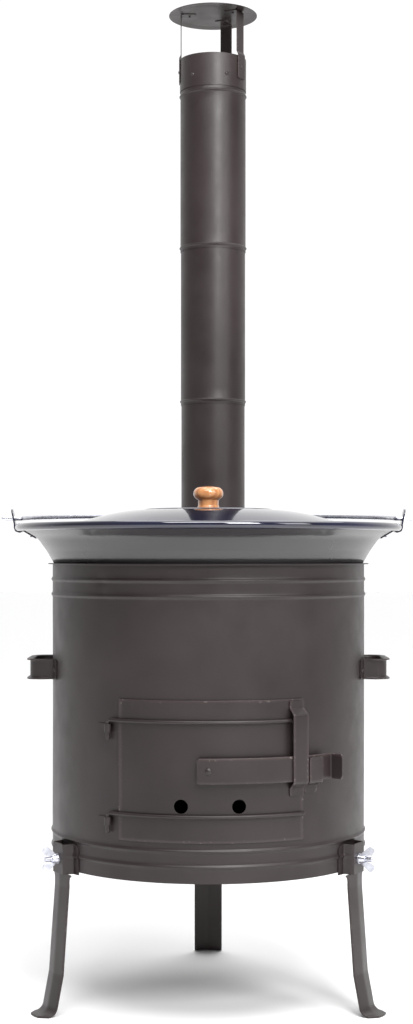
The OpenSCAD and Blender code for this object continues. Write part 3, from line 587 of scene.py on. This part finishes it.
def makeRod(name, node, spec, end):
    low, high = boxMm(node)
    pathRadius = door["outer"] + spec["radius"] - spec["sink"]
    start = math.radians(door["left"]) - (spec["pinGap"] - spec["bend"]) / firebox["radius"]
    z = high[2] - spec["radius"]
    pin = start * pathRadius - spec["bend"]
    corners = [(math.radians(door["right"] - end) * pathRadius, z), (pin, z), (pin, low[2])]
    flat = wire(softPath(corners, spec["bend"], 5), spec["radius"])
    points = roundWall(flat[..., 0], pathRadius + flat[..., 2], flat[..., 1], 0, pathRadius)
    addPiece(name, points, gridFaces(*points.shape[:2]), [node], 35)


makeRod("upper_hinge_rod", "hinge_rod_upper", rods, 1.0)
makeRod("lower_hinge_rod", "hinge_rod_lower", rods, 0.0)


latch = {"thick": 3.0, "standOff": 7.2, "tail": 17.0, "reach": 205.0, "handle": 22.0, "bend": 3.5,
         "corner": 0.8, "endRound": 5.0}


# Latch bar: a flat bar carried along the door and turned straight out at its end.
def makeLatchBar(spec):
    low, high = boxMm("latch_bar")
    inner = door["outer"] + spec["standOff"]
    middle, tip = inner + spec["thick"] / 2, spec["reach"] - spec["thick"] / 2
    path = softPath([(-spec["tail"], middle), (tip, middle), (tip, inner + spec["thick"] + spec["handle"])],
                    spec["bend"], 3)
    half = (high[2] - low[2]) / 2
    path, widths = roundEnds(path, spec["endRound"], spec["endRound"] / half)
    section, edge = flatBar(spec["thick"], 2 * half, spec["corner"], 10)
    flat = carried(path, section, widths)
    points = roundWall(flat[..., 0], flat[..., 1], flat[..., 2] + (low[2] + high[2]) / 2, 0, inner)
    lighterPaint = edge * (0.35 + 0.65 * (section[:, 1] > 0)) + np.zeros((len(path), 1))
    addPiece("swing_latch", points, gridFaces(*points.shape[:2]), ["latch_bar"], 35, lighterPaint)


makeLatchBar(latch)


# A bent strap: its path lies in the plane of radius and height, and its width goes across.
def makeStrap(name, node, corners, thick, wide, turn, bend=None, centre=(0.0, 0.0), radius=3.0, tip=2.0,
              wearAndPaintedLight=0.4, hole=None, ends=(True, True)):
    path = softPath(corners, radius, 2.5)
    path, widths = roundEnds(path, tip, tip / (wide / 2), ends)
    section, edge = flatBar(thick, wide, min(0.5, thick / 3), 6)
    section = section + np.array([thick / 2, 0])
    flat = carried(path, section, widths)
    points = roundWall(flat[..., 2], flat[..., 0], flat[..., 1], turn, bend, centre)
    faces = gridFaces(*points.shape[:2])
    if hole is None:
        return addPiece(name, points, faces, [node], 35, wearAndPaintedLight * edge + np.zeros((len(path), 1)))
    return placePiece(name, cutWith(freshMesh(name, points, faces), [hole]), [node], 35)


strap = {"thick": 2.5, "wide": 25.0, "clear": 1.2, "foot": 12.0, "slope": 0.8, "catchRise": 6.0}
strap["inner"] = door["outer"] + latch["standOff"] + latch["thick"] + strap["clear"]


def makeLatchStraps(spec):
    low, high = (corner[2] for corner in boxMm("latch_guide"))
    near, far, rampRise = door["outer"], spec["inner"], spec["slope"] * (spec["inner"] - door["outer"])
    span = math.degrees(spec["wide"] / firebox["radius"])
    makeStrap("bar_guide", "latch_guide", [
        (near, low), (near, low + spec["foot"]), (far, low + spec["foot"] + rampRise),
        (far, high - spec["foot"] - rampRise), (near, high - spec["foot"]), (near, high)],
        spec["thick"], spec["wide"], door["right"] - span / 2, firebox["radius"], wearAndPaintedLight=0.7)
    low, high = (corner[2] for corner in boxMm("latch_catch"))
    near = firebox["radius"]
    makeStrap("catch_hook", "latch_catch", [
        (near, low), (near, low + spec["foot"]), (far, low + spec["foot"] + spec["catchRise"]),
        (far, high)],
        spec["thick"], spec["wide"], door["right"] + math.degrees(2 / near) + span / 2, near, tip=4, wearAndPaintedLight=0.7)


makeLatchStraps(strap)
print("latch made")


grip = {"thick": 2.0, "half": 57.0, "reach": 33.0, "foot": 24.0, "lip": 5.0, "bend": 17.0, "fade": 12.0}


# Side handle: feet along the wall and a bow between them in plan, carrying a channel whose lips
# grow from nothing at the feet to their full depth on the bow.
def makeGrip(name, node, turn, spec):
    low, high = boxMm(node)
    half = (high[2] - low[2]) / 2
    body = firebox["radius"]
    end = math.asin(spec["half"] / body)
    a = np.linspace(end + spec["foot"] / body, end + 0.01, 6)
    foot = np.stack([-body * np.sin(a), body * np.cos(a)], 1)
    out = body + spec["reach"] - spec["thick"]
    bow = np.array([(-spec["half"], body * math.cos(end) + 3), (-spec["half"] + 1, out)])
    mirror = [-1, 1]
    path = softPath(np.concatenate([foot, bow, bow[::-1] * mirror, foot[::-1] * mirror]), spec["bend"], 3)
    path, widths = roundEnds(path, 4, 4 / half)
    lips = softPath([(spec["thick"] + spec["lip"], half - 1), (1, half - 1), (1, 1 - half),
                     (spec["thick"] + spec["lip"], 1 - half)], 3, 3)
    side = shellOf(lips, -spec["thick"] / 2)
    outline = np.concatenate([side[:len(lips)] - sides(lips) * spec["thick"] / 2, side[len(lips):]])
    reach = np.clip((path[:, 1] - body * math.cos(end) - 5) / spec["fade"], 0, 1)[:, None]
    out = outline[None, :, 0]
    deep = np.minimum(out, spec["thick"]) + np.maximum(out - spec["thick"], 0) * reach
    section = np.stack([-deep, outline[None, :, 1] + 0 * deep], -1)
    flat = carried(path, section, widths)
    points = roundWall(flat[..., 0], flat[..., 1], flat[..., 2] + (low[2] + high[2]) / 2, turn)
    lighterPaint = 0.5 * (outline[:, 0] > spec["thick"] + spec["lip"] - 1) + np.zeros((len(path), 1))
    addPiece(name, points, gridFaces(*points.shape[:2]), [node], 35, lighterPaint)


makeGrip("left_side_handle", "side_handle_left", -90, grip)
makeGrip("right_side_handle", "side_handle_right", 90, grip)
print("handles made")


bracketLow, bracketHigh = boxMm("leg_bracket_rear")
leg = {"wide": 48.0, "tongue": 30.0, "thick": 3.0, "vee": 8.0, "ridge": 2.0, "lean": 10.0, "knee": 62.0,
       "splay": 12.0, "foot": 22.0, "bend": 14.0, "fillet": 11.0, "round": 1.5, "chamfer": 11.0,
       "face": firebox["radius"] + 14.2}


# Leg: a bar with a shallow V carried from the foot's tip up into its bracket. The radius falls off
# from the ridge by tan(vee) * (sqrt(across squared + ridge squared) - ridge). The half width is cut
# at the foot's corners, widens under the bracket by fillet - sqrt(fillet^2 - (fillet - depth)^2),
# and drops to the tongue's on a quarter ellipse at the shoulder.
def makeLeg(name, node, turn, spec):
    face, thick = spec["face"], spec["thick"]
    top, shoulder = bracketHigh[2] - 2, bracketLow[2] - 0.2
    knee = face + spec["lean"]
    heel = knee + spec["splay"]
    near = np.linspace(shoulder - spec["fillet"] - 2, shoulder + 1, 24)
    rise = np.stack([np.full(len(near), face), near], 1)
    path = softPath(np.concatenate([[(heel + spec["foot"], thick), (heel, thick), (knee, spec["knee"]),
                                     (face, shoulder - 20)], rise, [(face, top)]]), spec["bend"], 4)
    path, _ = roundEnds(path, spec["chamfer"], 0, (True, False))
    z, flatFoot = path[:, 1], path[:, 1] < thick * 2
    half, tongue, fillet = spec["wide"] / 2, spec["tongue"] / 2, spec["fillet"]
    up = np.clip(fillet - (shoulder - z), 0, fillet)
    wide = half + fillet - np.sqrt(fillet ** 2 - up ** 2)
    t = np.clip((shoulder - z) / spec["round"], 0, 1)
    widths = tongue + (wide - tongue) * np.sqrt(1 - (1 - t) ** 2)
    cut = np.clip(spec["chamfer"] - (heel + spec["foot"] - path[:, 0]), 0, spec["chamfer"])
    widths = np.where(flatFoot, half - cut, widths)
    section, edge = flatBar(thick, spec["wide"], 0.8, 16)
    flat = carried(path, section - [thick / 2, 0], widths / half)
    away = np.hypot(flat[..., 2], spec["ridge"]) - spec["ridge"]
    flat[..., 0] -= math.tan(math.radians(spec["vee"])) * away
    points = roundWall(flat[..., 2], flat[..., 0], flat[..., 1], turn)
    addPiece(name, points, gridFaces(*points.shape[:2]), [node], 40, 0.3 * edge + np.zeros((len(path), 1)))


bracket = {"wide": 70.0, "pocket": 19.0, "ease": 6.0, "out": 17.0, "thick": 2.0, "nick": 12.0,
           "welds": ((-27.0, 0.42), (-27.0, 0.58), (27.0, 0.42), (27.0, 0.58)),
           "weldHigh": 0.5, "weldWide": 2.0}


# Leg bracket: radius over across and height. The flanges follow the beaded wall, and a smooth step
# 3s^2 - 2s^3 lifts the middle to a flat-faced pocket. Small bumps stand for the spot welds.
def makeBracket(name, node, turn, spec):
    low, high = bracketLow[2], bracketHigh[2]
    z = np.linspace(low, high, 48)[:, None]
    near = np.clip((z - high + spec["nick"]) / spec["nick"], 0, 1)
    half = spec["wide"] / 2 - spec["nick"] * (1 - np.sqrt(1 - near ** 2))
    u = np.linspace(-1, 1, 61)[None]
    across = u * half
    wall = np.full_like(z, firebox["radius"])
    for bead in shell["beads"]:
        t = np.clip((z - bead) / shell["beadWide"] + 0.5, 0, 1)
        wall += shell["beadHigh"] * (1 - np.cos(fullTurn * t)) / 2
    s = np.clip((spec["pocket"] + spec["ease"] / 2 - np.abs(across)) / spec["ease"], 0, 1)
    s = 3 * s ** 2 - 2 * s ** 3
    flat = (firebox["radius"] + spec["out"]) / np.cos(across / firebox["radius"])
    outer = (1 - s) * (wall + spec["thick"]) + s * flat
    inner = np.maximum(outer - spec["thick"], wall)
    for side, up in spec["welds"]:
        away = ((across - side) ** 2 + (z - low - up * (high - low)) ** 2) / spec["weldWide"] ** 2
        outer = outer + spec["weldHigh"] * np.exp(-away)
    rings = np.concatenate([outer, inner[:, ::-1]], 1)
    along = np.concatenate([across, across[:, ::-1]], 1)
    points = roundWall(along, rings, z + 0 * along, turn, firebox["radius"])
    addPiece(name, points, gridFaces(*points.shape[:2]), [node], 40)


for side, turn in (("front_left", -60), ("front_right", 60), ("rear", 180)):
    makeLeg("splayed_leg_" + side, "leg_" + side, turn, leg)
    makeBracket("pocket_bracket_" + side, "leg_bracket_" + side, turn, bracket)
print("legs made")


# stovepipe

pipeLow, pipeHigh = boxMm("pipe_lower")
flue = {"centre": ((pipeLow + pipeHigh) / 2)[:2], "wall": 0.8, "steps": 160,
        "beadHigh": 1.8, "beadWide": 6.0, "beadRise": 7.0, "capBead": 8.0}


def makePipe(name, node, spec, beads):
    low, high = boxMm(node)
    radius = (high[0] - low[0]) / 2 - (spec["beadHigh"] if beads else 0)
    path = beadedWall(radius, low[2], high[2], beads, spec["beadHigh"], spec["beadWide"], 30)
    points = lathe(shellOf(path, spec["wall"]), spec["steps"], spec["centre"])
    addPiece(name, points, gridFaces(*points.shape[:2], loop=True), [node], 32)


collarLow, collarHigh = boxMm("cap_collar")
for part in ("lower", "middle", "upper"):
    node = "pipe_" + part
    beads = [boxMm(node)[0][2] + flue["beadRise"]]
    if part == "upper":
        beads.append(collarLow[2] - flue["capBead"])
    makePipe(part + "_pipe", node, flue, beads)
makePipe("rain_cap_collar", "cap_collar", flue, [])


# A tube: an outer surface carried along a path and an inner one back along it.
def makeTube(name, node, corners, bend, radius, wall):
    path = softPath(corners, bend, 6)
    outer, inner = (carried(path, disc(r, 96)) for r in (radius, radius - wall))
    flat = np.concatenate([outer, inner[::-1]])
    points = np.stack([flue["centre"][0] + flat[..., 2], flat[..., 0], flat[..., 1]], -1)
    addPiece(name, points, gridFaces(*points.shape[:2], loop=True), [node], 32)


stubLow, stubHigh = boxMm("flue_stub")
stubZ, stubRadius = (stubLow[2] + stubHigh[2]) / 2, (stubHigh[2] - stubLow[2]) / 2
elbowLow, elbowHigh = boxMm("elbow")
elbowSpec = {"bend": 98.0, "stubIn": 12.0}
stubPath = [(firebox["radius"] - elbowSpec["stubIn"], stubZ), (stubHigh[1], stubZ)]
makeTube("stub", "flue_stub", stubPath, elbowSpec["bend"], stubRadius, flue["wall"])
makeTube("smooth_elbow", "elbow", [(elbowLow[1], stubZ), (flue["centre"][1], stubZ),
                                   (flue["centre"][1], elbowHigh[2])],
         elbowSpec["bend"], (elbowHigh[0] - elbowLow[0]) / 2, flue["wall"])


cap = {"flat": 65.0, "drop": 2.0, "wall": 1.0,
       "stayWide": 23.0, "stayThick": 1.5, "stayFoot": 17.0, "inset": 3.0, "tab": 30.0}


def makeCap(spec):
    low, high = boxMm("cap_disc")
    radius = (high[0] - low[0]) / 2
    path = softPath([(0, high[2]), (spec["flat"], high[2]), (radius, high[2] - spec["drop"])], 8, 6)
    points = lathe(shellOf(path, -spec["wall"]), flue["steps"], flue["centre"])
    addPiece("rain_cap", points, gridFaces(*points.shape[:2], loop=True), ["cap_disc"], 40)
    collar = (collarHigh[0] - collarLow[0]) / 2
    under = low[2] + spec["drop"] - spec["stayThick"]
    for side, turn in (("left", -90), ("right", 57), ("rear", 155)):
        makeStrap("rain_cap_stay_" + side, "cap_stay_" + side, [
            (collar, collarLow[2] + spec["stayFoot"]), (collar, collarHigh[2] + 2),
            (collar - spec["inset"], collarHigh[2] + 8), (collar - spec["inset"], under),
            (collar - spec["tab"], under)],
            spec["stayThick"], spec["stayWide"], turn, centre=flue["centre"], radius=4, tip=3)


makeCap(cap)
print("stovepipe made")


# kettle and lid

kettleLow, kettleHigh = boxMm("kettle")
kettle = {"wall": 2.0, "flat": 40.0, "neck": firebox["radius"] - 4.0, "neckDrop": 12.0, "bead": 6.0,
          "coves": ((9.0, 19.0), (24.0, 40.0), (51.0, 56.0)), "bend": 30.0, "steps": 180}
kettle["rim"] = (kettleHigh[0] - kettleLow[0]) / 2 - kettle["bead"]
kettle["rimZ"] = kettleHigh[2] - kettle["bead"]


# Kettle: half an ellipse for the bowl, a cove up to the rim and a rolled bead,
# then back inside at the wall's thickness, turned round.
def makeKettle(spec):
    top = firebox["top"] - spec["neckDrop"]
    t = np.linspace(0, math.pi / 2, 30)
    bowl = np.stack([spec["flat"] + (spec["neck"] - spec["flat"]) * np.sin(t),
                     top - (top - kettleLow[2]) * np.cos(t)], 1)
    cove = [(spec["neck"], firebox["top"] - 3.8)] + [(firebox["radius"] + x, firebox["top"] + z)
                                                     for x, z in spec["coves"]]
    outer = softPath(np.concatenate([[(0, kettleLow[2])], bowl, cove]), spec["bend"], 8)
    inner = outer - sides(outer) * spec["wall"]
    inner[0, 0] = 0
    roll = np.radians(np.linspace(-126, 200, 25))
    bead = np.stack([np.cos(roll), np.sin(roll)], 1) * spec["bead"] + [spec["rim"], spec["rimZ"]]
    profile = np.concatenate([outer, bead, inner[::-1]])
    points = lathe(profile, spec["steps"])
    # 1 on the outer underside, where the enamel shows a painted grey reflection
    under = (np.arange(len(profile)) < len(outer))[:, None] + np.zeros(points.shape[:2])
    addPiece("navy_kettle", points, gridFaces(*points.shape[:2], caps=False), ["kettle"], 50, under)


makeKettle(kettle)


bailSpec = {"radius": 3.5, "bend": 8.0, "tilt": 1.9}
lug = {"wide": 24.0, "thick": 2.5, "inward": 28.0, "lean": 5.0, "tip": 9.0, "hole": 3.8}


def makeLug(side, turn, spec):
    node = "kettle_lug_" + side
    top, rim, z, bead = boxMm(node)[1][2], kettle["rim"], kettle["rimZ"], kettle["bead"]
    x0, z0 = (firebox["radius"] + kettle["coves"][1][0], firebox["top"] + kettle["coves"][1][1])
    x1, z1 = (firebox["radius"] + kettle["coves"][2][0], firebox["top"] + kettle["coves"][2][1])
    slope = (z1 - z0) / (x1 - x0)
    inner, outer = rim - spec["inward"], rim - bead
    pivotZ = boxMm("bail")[0][2] + bailSpec["radius"]
    makeStrap("ear_" + side, node, [
        (inner, z0 + (inner - x0) * slope), (outer, z0 + (outer - x0) * slope),
        (rim - 1, z - bead), (rim + 0.75 * bead, z - 0.7 * bead), (rim + bead, z), (rim + bead, z + 5),
        (rim + bead + spec["lean"], top)],
        spec["thick"], spec["wide"], turn, radius=2, tip=spec["tip"],
        hole=radialPlug(spec["hole"], turn, pivotZ, rim, rim + 30), ends=(False, True))


makeLug("left", -90, lug)
makeLug("right", 90, lug)


# Bail: half a circle of wire that turns straight out at both ends, lying back at its tilt.
def makeBail(spec):
    low, high = boxMm("bail")
    pivotZ = low[2] + spec["radius"]
    turn = math.radians(spec["tilt"])
    reach = (high[1] - spec["radius"] - spec["bend"]) / math.cos(turn)
    half = np.linspace(0, math.pi, 73)
    ring = np.stack([reach * np.cos(half), spec["bend"] + reach * np.sin(half)], 1)
    ends = np.array([(high[0], 0.0), (reach, 0.0)])
    flat = wire(softPath(np.concatenate([ends, ring, ends[::-1] * [-1, 1]]), spec["bend"], 5), spec["radius"])
    x, y, z = flat[..., 0], flat[..., 1], flat[..., 2]
    points = np.stack([x, y * math.cos(turn) - z * math.sin(turn),
                       pivotZ + y * math.sin(turn) + z * math.cos(turn)], -1)
    addPiece("bail_wire", points, gridFaces(*points.shape[:2]), ["bail"], 35)


makeBail(bailSpec)


lidLow, lidHigh = boxMm("lid")
dome = {"wall": 1.5, "flat": 102.0, "step": 1.5, "lip": 8.0, "power": 1.7, "steps": 240}


# Lid: a flat top, a small step, a dome that falls by drop * run to its power, and an upright lip.
def makeLid(spec):
    radius, low, top = (lidHigh[0] - lidLow[0]) / 2, lidLow[2], lidHigh[2]
    k = np.linspace(0, 1, 40)
    run = radius - spec["flat"] - spec["step"]
    drop = top - spec["step"] - low - spec["lip"]
    fall = np.stack([run * k, -drop * k ** spec["power"]], 1)
    fall += [spec["flat"] + spec["step"], top - spec["step"]]
    path = softPath(np.concatenate([[(0, top), (spec["flat"], top)], fall, [(radius, low)]]), 3, 6)
    profile = shellOf(path, -spec["wall"])
    profile[-1, 0] = 0
    points = lathe(profile, spec["steps"])
    addPiece("domed_lid", points, gridFaces(*points.shape[:2], caps=False), ["lid"], 50)


makeLid(dome)


knob = {"neck": 16.5, "foot": 18.0, "rise": 0.36, "bulge": 10.0, "crown": 1.6}


# Knob: a waisted neck, then a head whose side is half an ellipse, centre + bulge * cos and
# middle + half its height * sin, under a slightly domed top, turned about the upright axis.
def makeKnob(spec):
    low, high = boxMm("lid_knob")
    radius, top, base = (high[0] - low[0]) / 2, high[2], low[2]
    shoulder = base + (top - base) * spec["rise"]
    half = (top - spec["crown"] - shoulder) / 2
    t = np.linspace(-math.pi / 2, math.pi / 2, 25)
    head = np.stack([spec["bulge"] * np.cos(t), half * np.sin(t)], 1)
    head += [radius - spec["bulge"], shoulder + half]
    neck = softPath([(spec["foot"], base), (spec["neck"], base + 4), (spec["neck"], shoulder), head[6]],
                    2.0, 1.0)
    r = np.linspace(head[-1, 0], 0, 10)[1:]
    crown = np.stack([r, top - spec["crown"] * (r / head[-1, 0]) ** 2], 1)
    points = lathe(np.concatenate([[(0, base)], neck, head[7:], crown]), 128)
    addPiece("turned_knob", points, gridFaces(*points.shape[:2], caps=False), ["lid_knob"], 60)


makeKnob(knob)
print("kettle and lid made")


# A copy of a CAD node, merged, its flat faces joined again, and its edges rounded by a live bevel.
def refine(node, width, segments=2, crease=38.0):
    source = nodes[node]
    mesh = source.data.copy()
    work = bmesh.new()
    work.from_mesh(mesh)
    bmesh.ops.remove_doubles(work, verts=work.verts, dist=1e-6)
    bmesh.ops.dissolve_limit(work, angle_limit=math.radians(0.5), verts=work.verts, edges=work.edges)
    bmesh.ops.recalc_face_normals(work, faces=work.faces)
    work.to_mesh(mesh)
    work.free()
    piece = placePiece(node + "_finished", mesh, [node], crease)
    bevel = piece.modifiers.new("edges", "BEVEL")
    bevel.width, bevel.segments, bevel.limit_method = width * mm, segments, "ANGLE"
    bevel.angle_limit = math.radians(crease)
    bevel.use_clamp_overlap = True
    return piece


edgeWidths = {
    "base_plate": 0.5, "grate_supports": 0.5, "fire_grate": 1.2, "hinge_eyes": 0.3, "latch_rivet": 0.3,
    "latch_spacer": 0.3, "handle_rivets": 0.3, "leg_bolts": 0.5, "leg_washers": 0.4, "collar_screws": 0.25,
    "cap_rivets": 0.25, "lug_rivets": 0.3, "knob_washer": 0.5, "knob_screw": 0.25,
    "wing_nut_front_left": 0.9, "wing_nut_front_right": 0.9, "wing_nut_rear": 0.9,
}
for node, width in edgeWidths.items():
    refine(node, width)
print("small parts refined:", len(edgeWidths))


# floor, light and world

studio = {"floor": 0.93, "floorHalf": 30.0, "backdrop": 1.05, "front": 0.20, "side": 0.34, "back": 1.0}
sky = {"strength": 1.85, "spread": 60.0, "tilt": (-14.0, 8.0, 0.0)}
lamps = {
    "keyLamp": {"watts": 62.0, "size": (0.9, 0.9), "spot": (0.9, -2.5, 2.3), "aim": (0, 0, 0.9)},
    "fillLamp": {"watts": 20.0, "size": (0.8, 1.4), "spot": (2.0, -1.7, 1.9), "aim": (0, 0, 0.7)},
    "topLamp": {"watts": 55.0, "size": (1.8, 0.8), "spot": (0.0, -1.5, 2.9), "aim": (0, 0, 0.8)},
}


def makeFloor(spec):
    size = spec["floorHalf"]
    data = bpy.data.meshes.new("floor")
    corners = [(-size, -size, 0), (size, -size, 0), (size, size, 0), (-size, size, 0)]
    data.from_pydata(corners, [], [(0, 1, 2, 3)])
    floor = bpy.data.objects.new("floor", data)
    bpy.context.scene.collection.objects.link(floor)
    look = newLook("paleFloor", Roughness=0.9)[0]
    look.node_tree.nodes["Principled BSDF"].inputs["Base Color"].default_value = (*[spec["floor"]] * 3, 1)
    data.materials.append(look)


def addLamp(name, spec):
    data = bpy.data.lights.new(name, "AREA")
    data.energy, data.shape = spec["watts"], "RECTANGLE"
    data.size, data.size_y = spec["size"]
    lamp = bpy.data.objects.new(name, data)
    bpy.context.scene.collection.objects.link(lamp)
    lamp.location = spec["spot"]
    away = np.array(spec["aim"]) - np.array(spec["spot"])
    tilt = math.acos(-away[2] / np.linalg.norm(away))
    lamp.rotation_euler = (tilt, 0, math.atan2(away[1], away[0]) - math.pi / 2)


# Camera rays see a white backdrop. The room that lights the stove is dim in front and bright
# behind: its grey is a ramp over the direction's y.
def makeRoom(spec):
    world = bpy.data.worlds.new("studio")
    world.use_nodes = True
    tree = world.node_tree
    room = tree.nodes["Background"]
    place = tree.nodes.new("ShaderNodeTexCoord")
    split = tree.nodes.new("ShaderNodeSeparateXYZ")
    tree.links.new(place.outputs["Generated"], split.inputs[0])
    half = tree.nodes.new("ShaderNodeMapRange")
    half.inputs["From Min"].default_value, half.inputs["From Max"].default_value = -1, 1
    tree.links.new(split.outputs["Y"], half.inputs["Value"])
    stops = [(0.1, spec["front"]), (0.55, spec["side"]), (0.8, spec["back"])]
    shade = ramp(tree, half.outputs["Result"], stops)
    tree.links.new(shade, room.inputs["Color"])
    ground = tree.nodes.new("ShaderNodeBackground")
    ground.inputs["Strength"].default_value = spec["backdrop"]
    ground.inputs["Color"].default_value = (1, 1, 1, 1)
    seen = tree.nodes.new("ShaderNodeLightPath")
    either = tree.nodes.new("ShaderNodeMixShader")
    tree.links.new(seen.outputs["Is Camera Ray"], either.inputs[0])
    tree.links.new(room.outputs[0], either.inputs[1])
    tree.links.new(ground.outputs[0], either.inputs[2])
    tree.links.new(either.outputs[0], tree.nodes["World Output"].inputs["Surface"])
    bpy.context.scene.world = world


def addSun(name, spec):
    data = bpy.data.lights.new(name, "SUN")
    data.energy, data.angle = spec["strength"], math.radians(spec["spread"])
    lamp = bpy.data.objects.new(name, data)
    bpy.context.scene.collection.objects.link(lamp)
    lamp.rotation_euler = tuple(math.radians(t) for t in spec["tilt"])


makeFloor(studio)
makeRoom(studio)
addSun("skySun", sky)
for name, spec in lamps.items():
    addLamp(name, spec)
bpy.context.scene.view_settings.view_transform = "Standard"
